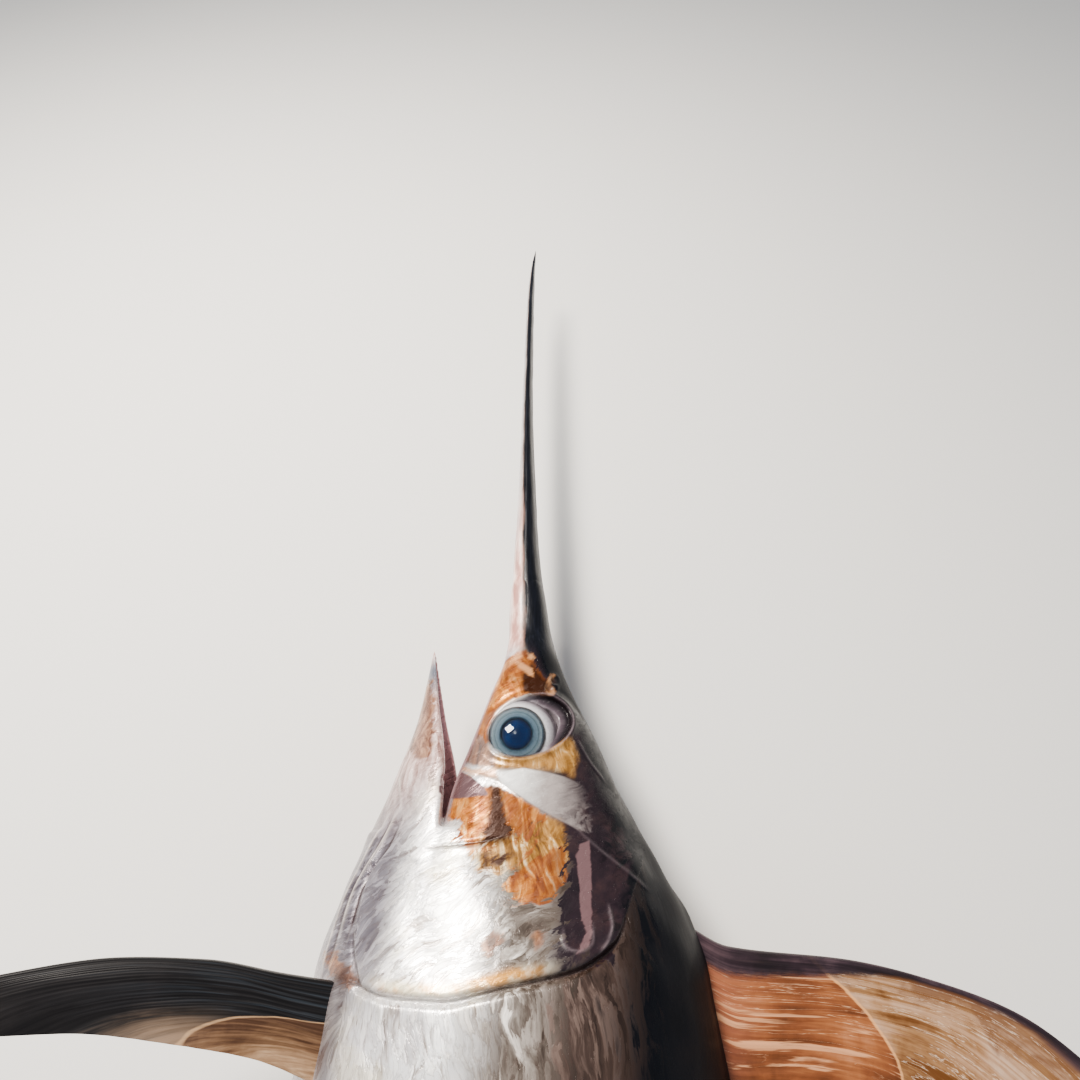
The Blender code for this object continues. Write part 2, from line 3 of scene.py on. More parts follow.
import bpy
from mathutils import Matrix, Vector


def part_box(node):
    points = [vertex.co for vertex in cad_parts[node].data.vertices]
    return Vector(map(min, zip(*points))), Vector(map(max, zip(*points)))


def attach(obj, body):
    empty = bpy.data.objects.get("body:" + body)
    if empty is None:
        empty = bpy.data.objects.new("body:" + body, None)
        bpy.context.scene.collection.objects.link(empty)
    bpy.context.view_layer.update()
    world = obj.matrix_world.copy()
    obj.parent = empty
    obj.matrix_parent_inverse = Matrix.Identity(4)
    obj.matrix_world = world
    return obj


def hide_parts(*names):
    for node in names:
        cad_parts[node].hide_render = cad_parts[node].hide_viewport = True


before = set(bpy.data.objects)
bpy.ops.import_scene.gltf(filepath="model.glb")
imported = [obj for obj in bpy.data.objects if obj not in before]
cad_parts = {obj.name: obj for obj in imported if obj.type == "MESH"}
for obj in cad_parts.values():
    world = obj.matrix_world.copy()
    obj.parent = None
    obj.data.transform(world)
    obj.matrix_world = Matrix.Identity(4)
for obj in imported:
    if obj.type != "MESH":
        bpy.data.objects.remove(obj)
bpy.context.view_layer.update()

import math

import bmesh
import bpy
import numpy as np
from mathutils import Matrix, Vector


# The camera and the fish's place
# The fish lies on its right flank. The camera keeps the photo's view: close by with a wide lens, level with
# the gill cover, square to the left flank but tipped towards the tail. A place on the fish is given in
# metres: towards the back, behind the tip of the lower jaw, and to its left of the middle plane.

BILL_TIP = -0.512
BILL_ROOT_TOP = 0.0262
SHIFT_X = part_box("bill")[1][0] - BILL_ROOT_TOP
SHIFT_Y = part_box("bill")[1][1] + BILL_TIP
# The body sags towards the tail, which rests on its keel
AXIS_HEIGHT = (
    (-0.512, 0.0800), (0.400, 0.0790), (0.600, 0.0720), (0.800, 0.0590), (0.945, 0.0495), (1.160, 0.0400))
PHOTO_WIDTH = 1080
FOCAL_PIXELS = 593.0
SENSOR = 36.0
CAMERA_PLACE = (0.0165, 0.157, 0.4375)
CAMERA_RIGHT = (1.0, -0.003, 0.002)
CAMERA_UP = (0.002, 0.858, 0.514)
CAMERA_BACK = (-0.003, -0.514, 0.858)


def curve(pairs, at):
    """A smooth line through (place, value) pairs that never overshoots them, read at one or many places."""
    xs, ys = (np.array(column, float) for column in zip(*pairs))
    steps = np.diff(ys) / np.diff(xs)
    slopes = np.zeros(len(xs))
    slopes[0], slopes[-1] = steps[0], steps[-1]
    same = steps[:-1] * steps[1:] > 0
    slopes[1:-1][same] = 2 / (1 / steps[:-1][same] + 1 / steps[1:][same])
    at = np.clip(np.asarray(at, float), xs[0], xs[-1])
    i = np.clip(np.searchsorted(xs, at, side="right") - 1, 0, len(xs) - 2)
    width = xs[i + 1] - xs[i]
    t = (at - xs[i]) / width
    return (
        ys[i] * (1 + 2 * t) * (1 - t) ** 2 + slopes[i] * width * t * (1 - t) ** 2
        + ys[i + 1] * t * t * (3 - 2 * t) + slopes[i + 1] * width * t * t * (t - 1)
    )


def to_world(places):
    """World points from rows of back, behind and left, never below the floor."""
    places = np.asarray(places, float)
    height = np.maximum(curve(AXIS_HEIGHT, places[..., 1]) + places[..., 2], 0)
    return np.stack([places[..., 0] + SHIFT_X, SHIFT_Y - places[..., 1], height], axis=-1)


lens = bpy.data.cameras.new("camera")
lens.sensor_width = SENSOR
lens.lens = SENSOR * FOCAL_PIXELS / PHOTO_WIDTH
lens.clip_start = 0.01
camera = bpy.data.objects.new("camera", lens)
bpy.context.scene.collection.objects.link(camera)
turn = Matrix((CAMERA_RIGHT, CAMERA_UP, CAMERA_BACK)).transposed()
camera.matrix_world = Matrix.Translation(Vector(to_world(CAMERA_PLACE))) @ turn.to_4x4()
bpy.context.scene.camera = camera


# The skin's shape
# One skin over the skull, jaw, gill covers, trunk, tail stock and keels. A grown swordfish has no scales,
# so the skin is bare, thin and wet, and drawn tight over bone on the head. Its forms are grown together
# here and then smoothed, as flesh is.

# Each line is a row of pairs: a place behind the jaw's tip, and the level or the width there
BACK_LINE = (
    (-0.064, 0.0190), (-0.056, 0.0212), (-0.020, 0.0262), (0.006, 0.0325), (0.033, 0.0425),
    (0.062, 0.0565), (0.102, 0.0735), (0.143, 0.0950), (0.170, 0.1070), (0.200, 0.1150), (0.280, 0.1190),
    (0.400, 0.1125), (0.550, 0.0930), (0.700, 0.0670), (0.820, 0.0430), (0.900, 0.0295), (0.950, 0.0208),
    (0.972, 0.0222), (0.992, 0.0150))
LIP_LINE = (
    (-0.064, -0.0032), (-0.056, -0.0052), (-0.020, -0.0070), (0.006, -0.0105), (0.040, -0.0231),
    (0.079, -0.0370), (0.092, -0.0420), (0.140, -0.0540))
BELLY_LINE = (
    (0.092, -0.0840), (0.123, -0.0945), (0.154, -0.1045), (0.198, -0.1150), (0.280, -0.1180),
    (0.400, -0.1130), (0.550, -0.0950), (0.700, -0.0680), (0.820, -0.0430), (0.900, -0.0290),
    (0.950, -0.0208), (0.972, -0.0222), (0.992, -0.0150))
HALF_WIDTH = (
    (-0.064, 0.0165), (-0.056, 0.0184), (-0.020, 0.0195), (0.006, 0.0260), (0.033, 0.0345),
    (0.062, 0.0425), (0.092, 0.0490), (0.125, 0.0580), (0.160, 0.0690), (0.200, 0.0785), (0.280, 0.0835),
    (0.400, 0.0795), (0.550, 0.0665), (0.700, 0.0480), (0.820, 0.0320), (0.900, 0.0235), (0.955, 0.0180),
    (0.992, 0.0050))
WIDEST_LEVEL = (
    (-0.060, 0.0078), (-0.020, 0.0100), (0.062, 0.0110), (0.092, 0.0040), (0.140, -0.0020),
    (0.400, -0.0020), (0.992, 0.0))
JAW_TIP = -0.0050
MOUTH_CORNER = 0.0920
JAW_TOP = ((JAW_TIP, -0.0625), (0.040, -0.0540), (0.092, -0.0432), (0.140, -0.0420))
JAW_UNDER = (
    (JAW_TIP, -0.0643), (0.025, -0.0676), (0.048, -0.0708), (0.065, -0.0752), (0.092, -0.0838),
    (0.123, -0.0940), (0.140, -0.0995))
JAW_HALF_WIDTH = ((JAW_TIP, 0.0018), (0.020, 0.0098), (0.050, 0.0212), (0.092, 0.0422), (0.140, 0.0560))
PALATE_DEPTH = 0.0080
THROAT_WALL = 0.122
STOCK_END = 0.992
KEEL_MARGIN = (
    (0.862, 0.022), (0.885, 0.0365), (0.925, 0.0470), (0.950, 0.0497), (0.975, 0.0460), (0.990, 0.0300),
    (0.996, 0.010))
HEAD_START, HEAD_OVERLAP = -0.064, 0.1401         # the upper head and the jaw end inside the trunk
RING_STEP, JAW_STEP = 0.004, 0.003
RING = 96
FLESH_POWER, MOUTH_POWER = 2.1, 2.8               # how square a section is below its widest level
KEEL_THICKNESS = 0.0062
KEEL_RINGS, KEEL_AROUND = 60, 24
# The grid is fine over the head and up to three times as long over the plain trunk
VOXEL = 0.0010
FINE_END, COARSE_START, COARSENESS = 0.24, 0.34, 3.0


def ease(low, high, x):
    """0 below low, 1 above high, and a smooth rise between."""
    t = np.clip((x - low) / (high - low), 0, 1)
    return t * t * (3 - 2 * t)


def bell(x, width):
    """1 where x is 0, falling smoothly to nothing a few widths away."""
    return np.exp(-(x / width) ** 2)


true_places = np.linspace(-0.1, 1.2, 1301)
grid_steps = np.diff(true_places) / (1 + (COARSENESS - 1) * ease(FINE_END, COARSE_START, true_places[1:]))
grid_places = true_places[0] + np.concatenate([[0], np.cumsum(grid_steps)])


def new_object(name, points, faces):
    """A smooth object over points and faces."""
    mesh = bpy.data.meshes.new(name)
    mesh.from_pydata(np.asarray(points, float).tolist(), [], faces)
    mesh.shade_smooth()
    made = bpy.data.objects.new(name, mesh)
    bpy.context.scene.collection.objects.link(made)
    return made


def tube_faces(rings, around):
    """Faces of a closed skin over rings of points, capped at both ends."""
    faces = [list(range(around))[::-1], [around * (rings - 1) + i for i in range(around)]]
    for r in range(rings - 1):
        for i in range(around):
            j = (i + 1) % around
            a, b = r * around + i, r * around + j
            faces.append((a, b, b + around, a + around))
    return faces


def outward(made):
    """Turns every face of a closed mesh outwards."""
    shape = bmesh.new()
    shape.from_mesh(made.data)
    bmesh.ops.recalc_face_normals(shape, faces=shape.faces)
    shape.to_mesh(made.data)
    shape.free()
    return made


def tube(name, rings):
    """A closed form over rings of back, behind and left, with the trunk drawn short for the grid."""
    rings = np.array(rings)
    rings[..., 1] = -np.interp(rings[..., 1], true_places, grid_places)
    return outward(new_object(name, rings.reshape(-1, 3), tube_faces(*rings.shape[:2])))


def flesh_ring(behind, upper_only=False):
    """Points of one section. Angle 0 is the back, a quarter turn the left side and a half turn the belly."""
    angle = 2 * math.pi * np.arange(RING) / RING
    c, s = np.cos(angle), np.sin(angle)
    level, half = curve(WIDEST_LEVEL, behind), curve(HALF_WIDTH, behind)
    under = curve(LIP_LINE if upper_only else BELLY_LINE, behind)
    power = np.where((c < 0) & upper_only, 2 / MOUTH_POWER, 2 / FLESH_POWER)
    reach = np.where(c > 0, curve(BACK_LINE, behind) - level, level - under)
    back = level + np.sign(c) * np.abs(c) ** power * reach
    left = np.sign(s) * np.abs(s) ** power * half
    if upper_only:
        share = np.abs(left) / half
        hollow = PALATE_DEPTH * (1 - np.minimum(share / 0.66, 1) ** 2) * ease(-0.03, 0.02, behind)
        lip = 0.0012 * bell(share - 0.84, 0.1)
        back = back + np.where(c < 0, hollow - lip, 0)
    return np.stack([back, np.full(RING, behind), left], axis=-1)


def jaw_ring(behind):
    """A section of the lower jaw and the floor of the mouth: a trough between two bony rami."""
    top, under, half = curve(JAW_TOP, behind), curve(JAW_UNDER, behind), curve(JAW_HALF_WIDTH, behind)
    deep = top - under
    outer = np.linspace(0, math.pi, RING // 2)
    inner = np.linspace(math.pi, 0, RING // 2)
    lip = 0.0012 * bell(np.sin(outer), 0.3) * min(half / 0.02, 1)
    out_left = (half + lip) * np.sign(np.cos(outer)) * np.abs(np.cos(outer)) ** 1.35
    floor_rise = 0.10 * deep * bell(np.cos(inner), 0.28)
    in_back = top - 0.66 * deep * np.sin(inner) ** 0.9 + floor_rise
    in_left = 0.80 * half * np.cos(inner)
    back = np.concatenate([top - deep * np.sin(outer), in_back])
    left = np.concatenate([out_left, in_left])
    return np.stack([back, np.full(len(back), behind), left], axis=-1)


def keel_rings(side):
    """The stout ridge that stands out from each side of the tail stock."""
    rings = []
    for behind in np.linspace(KEEL_MARGIN[0][0], KEEL_MARGIN[-1][0], KEEL_RINGS):
        out = curve(KEEL_MARGIN, behind)
        thin = 1 - 0.55 * ease(0.94, 0.996, behind)
        thick = KEEL_THICKNESS * ease(0.855, 0.90, behind) * thin + 0.0012
        angle = 2 * math.pi * np.arange(KEEL_AROUND) / KEEL_AROUND
        left = side * out * (0.5 + 0.5 * np.cos(angle))
        back = thick * np.sin(angle) * (1 - 0.62 * (0.5 + 0.5 * np.cos(angle)))
        rings.append(np.stack([back, np.full(KEEL_AROUND, behind), left], axis=-1))
    return rings


def rows_of(items, name):
    """One row of three numbers for each vertex or normal of a mesh."""
    flat = np.empty(len(items) * 3, np.float32)
    items.foreach_get(name, flat)
    return flat.reshape(-1, 3).astype(float)


def set_coordinates(mesh, points):
    """Moves the vertices of a mesh to rows of points."""
    mesh.vertices.foreach_set("co", np.ascontiguousarray(points, dtype=np.float32).ravel())
    mesh.update()


def relaxed(mesh, points, rounds, share=0.5):
    """The points after each has moved towards the middle of its neighbours a few times."""
    pairs = np.empty(len(mesh.edges) * 2, dtype=np.int32)
    mesh.edges.foreach_get("vertices", pairs)
    a, b = pairs.reshape(-1, 2).T
    count = np.bincount(a, minlength=len(points)) + np.bincount(b, minlength=len(points))
    for _ in range(rounds):
        mean = np.stack([
            np.bincount(a, points[b, k], len(points)) + np.bincount(b, points[a, k], len(points))
            for k in range(3)], axis=1) / count[:, None]
        points = points + share * (mean - points)
    return points


upper = tube("upper", [flesh_ring(s, True) for s in np.arange(HEAD_START, HEAD_OVERLAP, RING_STEP)])
trunk_rings = (*np.arange(THROAT_WALL, STOCK_END - RING_STEP / 2, RING_STEP), STOCK_END)
skin = tube("skin", [flesh_ring(s) for s in trunk_rings])
jaw = tube("jaw", [jaw_ring(s) for s in np.arange(JAW_TIP, HEAD_OVERLAP, JAW_STEP)])
keels = [tube("keel", keel_rings(side)) for side in (1, -1)]
with bpy.context.temp_override(active_object=skin, selected_editable_objects=[skin, upper, jaw, *keels]):
    bpy.ops.object.join()
remesh = skin.modifiers.new("remesh", "REMESH")
remesh.mode = "VOXEL"
remesh.voxel_size = VOXEL
remesh.use_smooth_shade = True
bpy.context.view_layer.update()
grown = bpy.data.meshes.new_from_object(skin.evaluated_get(bpy.context.evaluated_depsgraph_get()))
skin.modifiers.remove(remesh)
skin.data = grown
places = relaxed(grown, rows_of(grown.vertices, "co"), 6)
places[:, 1] = np.interp(-places[:, 1], grid_places, true_places)
set_coordinates(grown, to_world(places))


# The skin's relief
# The gill covers are thin bony plates whose rear edges stand free of the flank over a dark slit. The eye
# sits in a bony orbit, the throat and cheeks fold where the mouth opens, and each fin has a swollen root.

EYE_CENTRE = (0.0035, 0.0668, 0.0262)
GLOBE_RADII = (0.0268, 0.0262, 0.0190)
ORBIT = (0.0115, 0.0610, 0.0270, 0.0215)        # its middle, then its reach back and along the fish
ORBIT_LEAN = 0.35
# The orbit sinks in steps, each a depth and the shares of the opening between which it is reached
ORBIT_STEPS = ((0.0050, 0.90, 1.0), (0.0025, 0.70, 0.90), (0.0110, 0.55, 0.70))
NOSTRILS = ((0.0275, 0.0270, 0.0019), (0.0245, 0.0335, 0.0024))
# The free edges of the gill cover, behind it and along the throat, as places back and behind
COVER_EDGE = (
    (-0.081, 0.194), (-0.060, 0.199), (-0.031, 0.200), (-0.012, 0.197), (0.004, 0.194), (0.023, 0.191),
    (0.037, 0.188), (0.046, 0.184), (0.057, 0.177), (0.062, 0.169))
COVER_LIFT, COVER_SLIT = 0.0021, 0.0024
SLIT_BEHIND = 0.0016                            # how far behind the free edge the slit is deepest
THROAT_EDGE = ((-0.071, 0.126), (-0.083, 0.150), (-0.085, 0.169), (-0.081, 0.184), (-0.074, 0.194))
# Each fold is drawn as (height, half width, places), and a negative height is a groove
FOLDS = (
    (-0.0010, 0.0011, (
        (-0.055, 0.122), (-0.052, 0.129), (-0.046, 0.133), (-0.030, 0.132), (-0.013, 0.130),
        (0.002, 0.126))),
    (0.0005, 0.0018, ((-0.054, 0.126), (-0.049, 0.132), (-0.030, 0.1345), (-0.012, 0.1325))),
    (-0.0016, 0.0012, (
        (-0.048, 0.080), (-0.043, 0.096), (-0.047, 0.106), (-0.052, 0.117), (-0.056, 0.123))),
    (0.0010, 0.0016, ((-0.046, 0.094), (-0.050, 0.106), (-0.055, 0.117), (-0.059, 0.124))),
    (0.0010, 0.0016, ((-0.075, 0.088), (-0.068, 0.107), (-0.061, 0.123))),
    (0.0006, 0.0013, (
        (-0.034, 0.0865), (-0.020, 0.0935), (-0.008, 0.0975), (0.002, 0.1035), (0.015, 0.1125),
        (0.027, 0.1185), (0.037, 0.1225))),
    (0.0004, 0.0012, ((0.037, 0.123), (0.062, 0.142), (0.082, 0.156))),
    (0.0004, 0.0010, ((0.041, 0.067), (0.050, 0.083), (0.062, 0.097))),
    (0.0006, 0.0011, (
        (0.029, 0.170), (0.029, 0.177), (0.032, 0.181), (0.037, 0.182), (0.044, 0.178), (0.045, 0.168))),
    (0.0009, 0.0012, ((0.054, 0.160), (0.055, 0.170), (0.053, 0.176), (0.046, 0.184))),
    (0.0012, 0.0020, ((-0.066, 0.108), (-0.078, 0.130), (-0.091, 0.155), (-0.094, 0.180))),
    (-0.0012, 0.0016, ((-0.062, 0.112), (-0.074, 0.132), (-0.087, 0.156), (-0.089, 0.182))),
    (0.0010, 0.0020, ((-0.075, 0.108), (-0.088, 0.135), (-0.100, 0.165), (-0.102, 0.200))),
    (-0.0010, 0.0016, ((-0.071, 0.110), (-0.083, 0.134), (-0.096, 0.160), (-0.098, 0.196))),
)
# The swollen roots of the fins along the back and the belly, as (start, end, height, half width)
BACK_ROOTS = ((0.158, 0.320, 0.0035, 0.0110), (0.874, 0.904, 0.0012, 0.0040))
BELLY_ROOTS = ((0.650, 0.748, 0.0020, 0.0075), (0.860, 0.892, 0.0012, 0.0040))
ROOT_FADE = 0.012
PECTORAL_ROOT = (-0.084, 0.2185, 0.049)
PECTORAL_REACH = 0.018                          # half the root's length along the fish
VENT = (-0.082, 0.622)
BONE_SWELL, MUSCLE_SWELL = 0.00035, 0.00050


def flank(back, behind):
    """How far the outer skin stands from the middle plane at a place."""
    level, half = curve(WIDEST_LEVEL, behind), curve(HALF_WIDTH, behind)
    open_mouth = (behind < MOUTH_CORNER) & (back < level)
    under = np.where(open_mouth, curve(LIP_LINE, behind), curve(BELLY_LINE, behind))
    reach = np.where(back > level, curve(BACK_LINE, behind) - level, level - under)
    power = np.where(open_mouth, MOUTH_POWER, FLESH_POWER)
    share = np.clip(np.abs(back - level) / reach, 0, 1)
    return half * (1 - share ** power) ** (1 / power)


def orbit_share(back, behind):
    """0 in the middle of the eye's orbit and 1 on its rim."""
    across = (back - ORBIT[0] + ORBIT_LEAN * (behind - ORBIT[1])) / ORBIT[2]
    return np.hypot(across, (behind - ORBIT[1]) / ORBIT[3])


def along(points, t):
    """Places on a smooth curve through points, t from 0 to 1 by the chord lengths."""
    points = np.array(points, float)
    reach = np.concatenate([[0], np.cumsum(np.linalg.norm(np.diff(points, axis=0), axis=1))])
    reach = reach / reach[-1]
    return np.stack([curve(list(zip(reach, points[:, k])), t) for k in range(points.shape[1])], axis=-1)


def nearest(points, back, behind, out, steps=48):
    """Distance to a smooth line on the flank, the share of its length there, and on which side of it."""
    line = along(points, np.linspace(0, 1, steps + 1))
    rise = flank(line[:, 0], line[:, 1])
    best = np.full(len(back), 1.0)
    share, hand = np.zeros(len(back)), np.ones(len(back))
    for i in range(steps):
        span = np.array([line[i + 1, 0] - line[i, 0], line[i + 1, 1] - line[i, 1], rise[i + 1] - rise[i]])
        away = np.stack([back - line[i, 0], behind - line[i, 1], out - rise[i]])
        t = np.clip(span @ away / (span @ span), 0, 1)
        gap = np.sqrt(((away - span[:, None] * t) ** 2).sum(axis=0))
        near = gap < best
        best = np.where(near, gap, best)
        share = np.where(near, (i + t) / steps, share)
        hand = np.where(near, np.sign(span[0] * away[1] - span[1] * away[0]), hand)
    return best, share, hand


def plate_edge(past, fade, step, width):
    """The lift of a thin plate up to its free edge, and the slit behind that edge."""
    lift = COVER_LIFT * np.exp(-np.maximum(-past, 0) / fade) * (1 - ease(*step, past))
    return lift - COVER_SLIT * bell(past - SLIT_BEHIND, width)


def swell(points, size, seed):
    """A smooth random rise and fall between about -1 and 1, with waves of about the given size."""
    pick = np.random.default_rng(seed)
    total = np.zeros(len(points))
    for _ in range(14):
        way = pick.normal(size=3)
        way *= 2 * math.pi / (size * pick.uniform(0.7, 1.5) * np.linalg.norm(way))
        total += np.sin(points @ way + pick.uniform(0, 2 * math.pi))
    return total / 3.2


back, behind, left = places.T
side, out = np.where(left < 0, -1.0, 1.0), np.abs(left)
facing = rows_of(grown.vertex_normals, "vector")
outside = np.clip((out - flank(back, behind)) / 0.008 + 1.6, 0, 1)      # 0 on the mouth's inner walls
# The crease mask is painted shade: it darkens the colour in grooves, in the slit under the gill cover's
# edge, round the pectoral root and in the nostrils.
raised, crease_shade, pale_ridge_and_highlight = (np.zeros(len(back)) for _ in range(3))

head = np.flatnonzero((behind < 0.24) & (behind > 0.10) & (outside > 0))
at = back[head], behind[head], out[head]
gap, share, hand = nearest(COVER_EDGE, *at)
past = gap * hand                                                       # negative on the gill cover
end = ease(0.0, 0.05, share) * (1 - 0.7 * ease(0.88, 1.0, share)) * outside[head]
raised[head] += end * plate_edge(past, 0.020, (-0.0004, 0.0009), 0.0016)
crease_shade[head] = end * bell(past - 0.0010, 0.0009) * (0.45 + 0.55 * ease(-0.005, 0.035, at[0]))
cover_past = np.where(behind < 0.15, -1.0, 1.0)
cover_past[head] = past
gap, share, hand = nearest(THROAT_EDGE, *at)
past = gap * hand
end = ease(0.0, 0.25, share) * outside[head]
raised[head] += 0.5 * end * bell(gap, 0.02) * plate_edge(past, 0.012, (-0.0006, 0.0010), 0.0018)
crease_shade[head] = np.maximum(crease_shade[head], 0.6 * end * bell(past - 0.0010, 0.0011))

# Raised folds add to the crest mask: pale lines along their ridges, partly the skin's own pale fold lines
# and partly painted highlight.
for height, width, line in FOLDS:
    low, high = np.min(line, axis=0) - 0.008, np.max(line, axis=0) + 0.008
    near = (back > low[0]) & (back < high[0]) & (behind > low[1]) & (behind < high[1]) & (outside > 0)
    near = np.flatnonzero(near)
    gap, share, hand = nearest(line, back[near], behind[near], out[near], 24)
    end = ease(0.0, 0.18, share) * (1 - ease(0.80, 1.0, share)) * outside[near]
    raised[near] += end * height * bell(gap, width)
    tint = crease_shade if height < 0 else pale_ridge_and_highlight
    tint[near] = np.maximum(tint[near], end * min(abs(height) / 0.001, 1) * bell(gap, 0.6 * width))

for roots, there in ((BACK_ROOTS, back > 0), (BELLY_ROOTS, back < 0)):
    for start, stop, height, width in roots:
        span = ease(start - ROOT_FADE, start + ROOT_FADE, behind)
        span = span * (1 - ease(stop - ROOT_FADE, stop + 0.016, behind))
        raised += np.where(there, height * bell(out, width) * span, 0)
past_root = np.maximum(np.abs(behind - PECTORAL_ROOT[1]) - PECTORAL_REACH, 0)
root_gap = np.hypot(np.hypot(back - PECTORAL_ROOT[0], past_root), out - PECTORAL_ROOT[2])
raised += 0.0030 * bell(root_gap, 0.009)
crease_shade = np.maximum(crease_shade, 0.75 * bell(root_gap - 0.0075, 0.0032))
vent_gap = np.hypot(np.hypot(back - VENT[0], (behind - VENT[1]) / 2), out)
raised -= 0.0014 * bell(vent_gap, 0.0035)
for nose_back, nose_behind, radius in NOSTRILS:
    away = np.hypot(back - nose_back, (behind - nose_behind) / 1.4) + 1.0 * (outside < 0.5)
    raised += 0.0006 * bell(away - 1.9 * radius, 0.7 * radius) - 0.0022 * bell(away, radius)
    crease_shade = np.maximum(crease_shade, bell(away, 0.9 * radius))
raised += BONE_SWELL * swell(places, 0.030, 5) * ease(0.05, 0.12, behind) * outside
raised += MUSCLE_SWELL * swell(places, 0.085, 6) * ease(0.20, 0.30, behind)

orbit = orbit_share(back, behind) + 10 * (out < 0.018)
sink = 0.0011 * bell(orbit - 1.07, 0.05) - 0.0005 * bell(orbit - 1.26, 0.08)
for depth, low, high in ORBIT_STEPS:
    sink = sink - depth * (1 - ease(low, high, orbit))
# The rim is bony. Its pale line, partly pale bone and partly painted highlight, is strongest on the side of
# the back and fades into the cheek on the other side
lean_back, lean_behind = (back - ORBIT[0]) / ORBIT[2], (behind - ORBIT[1]) / ORBIT[3]
rim_share = 0.15 + 0.85 * ease(-0.5, 0.3, lean_back - 0.5 * lean_behind)
pale_ridge_and_highlight = np.maximum(pale_ridge_and_highlight, 1.4 * bell(orbit - 1.03, 0.020) * rim_share)
# Painted shade on the orbit's wall round the globe: darker towards the rim on the side of the back, and a
# thinner dark line on the other side.
shaded = ease(0.45, 0.92, orbit) * ease(-0.1, 0.7, lean_back - 0.2 * lean_behind)
shaded = np.maximum(shaded, 0.55 * ease(0.2, -0.4, lean_back - 0.5 * lean_behind))

skinned = to_world(places) + facing * raised[:, None]
skinned[:, 2] += side * sink
skinned = relaxed(grown, skinned, 1, 0.3)
skinned[:, 2] = np.maximum(skinned[:, 2], 0)
set_coordinates(grown, skinned)


# The bill
# The sword is the upper jaw's bone drawn out flat under thin skin, blue-black above and pale below. It has
# no teeth, only a fine lengthwise grain and shallow grooves. The head's skin thins out over its root.

BILL_TOP = (
    (-0.512, 0.0148), (-0.480, 0.0136), (-0.420, 0.0125), (-0.275, 0.0116), (-0.136, 0.0154),
    (-0.085, 0.0180), (-0.020, 0.0262))
BILL_UNDER = (
    (-0.512, 0.0137), (-0.480, 0.0090), (-0.420, 0.0046), (-0.275, 0.0012), (-0.136, -0.0016),
    (-0.085, -0.0036), (-0.020, -0.0070))
BILL_HALF_WIDTH = (
    (-0.512, 0.0008), (-0.480, 0.0045), (-0.420, 0.0080), (-0.275, 0.0132), (-0.136, 0.0162),
    (-0.020, 0.0195))
BILL_END = -0.046
BILL_AROUND = 72
BILL_RINGS = 420
GROOVE_DEPTH = 0.00045
GROOVE_START, GROOVE_STOP = (-0.49, -0.40), (-0.10, -0.07)
UNEVENNESS, UNEVEN_SIZE = 0.00012, 0.010
BILL_GRAIN, BILL_CLOUD = 1.613, 7.692           # how wide each pattern is, in millimetres
GRAIN_STRETCH, CLOUD_STRETCH = 20, 4            # and how many times as long


def paint(mesh, name, values):
    """Keeps one number for each point of a mesh, for its material to read."""
    layer = mesh.attributes.new(name, "FLOAT", "POINT")
    layer.data.foreach_set("value", np.ascontiguousarray(values, dtype=np.float32))


def colour(code):
    """A linear colour from an sRGB hex value."""
    parts = [int(code[i:i + 2], 16) / 255 for i in (1, 3, 5)]
    return (*(p / 12.92 if p <= 0.04045 else ((p + 0.055) / 1.055) ** 2.4 for p in parts), 1.0)


def add(tree, kind, links=None, stops=None, **settings):
    """Adds a node with its settings. Links feeds each input with a value, a node or a socket."""
    made = tree.nodes.new(kind)
    for name, value in settings.items():
        setattr(made, name, value)
    for place, source in (links or {}).items():
        if isinstance(source, bpy.types.Node):
            source = next(socket for socket in source.outputs if socket.enabled)
        if isinstance(source, bpy.types.NodeSocket):
            tree.links.new(source, made.inputs[place])
        else:
            made.inputs[place].default_value = source
    if stops:
        for _ in stops[2:]:
            made.color_ramp.elements.new(1)
        for element, (place, code) in zip(made.color_ramp.elements, stops):
            element.position, element.color = place, colour(code)
    return made


def new_material(name, **settings):
    """An empty material and its shader, with the settings that are the same all over."""
    made = bpy.data.materials.new(name)
    made.use_nodes = True
    shader = made.node_tree.nodes["Principled BSDF"]
    for socket, value in settings.items():
        shader.inputs[socket.replace("_", " ")].default_value = value
    return made, made.node_tree, shader


def weighed(tree, *terms):
    """A sum of sources, each followed by what it is multiplied by, with what is added as the last term."""
    total = terms[-1]
    for source, share in zip(terms[:-1:2], terms[1:-1:2]):
        total = add(tree, "ShaderNodeMath", {0: source, 1: share, 2: total}, operation="MULTIPLY_ADD")
    return total


def layered(tree, finish, *layers):
    """Lays each colour over the last by its mask. A mask may be a source, its low and high end, and how
    strong the layer is there, with a soft step between."""
    finish = colour(finish) if isinstance(finish, str) else finish
    for mask, tint in layers:
        if isinstance(mask, tuple):
            mask = add(tree, "ShaderNodeMapRange", dict(enumerate(mask)), interpolation_type="SMOOTHSTEP")
        tint = colour(tint) if isinstance(tint, str) else tint
        finish = add(tree, "ShaderNodeMix", {0: mask, 6: finish, 7: tint}, data_type="RGBA")
    return finish


def feed(tree, shader, **sources):
    """Links each source to the shader's socket of that name."""
    for name, source in sources.items():
        tree.links.new(next(s for s in source.outputs if s.enabled), shader.inputs[name.replace("_", " ")])


rings = np.linspace(BILL_TIP, BILL_END, BILL_RINGS)[:, None]
angle = 2 * math.pi * np.arange(BILL_AROUND)[None, :] / BILL_AROUND
top, under, half = (curve(line, rings) for line in (BILL_TOP, BILL_UNDER, BILL_HALF_WIDTH))
middle, thick = (top + under) / 2, (top - under) / 2
c, s = np.cos(angle), np.sin(angle)
bill_back = middle + thick * np.sign(c) * np.abs(c) ** 1.12
bill_left = half * s
bill_behind = rings + 0 * angle
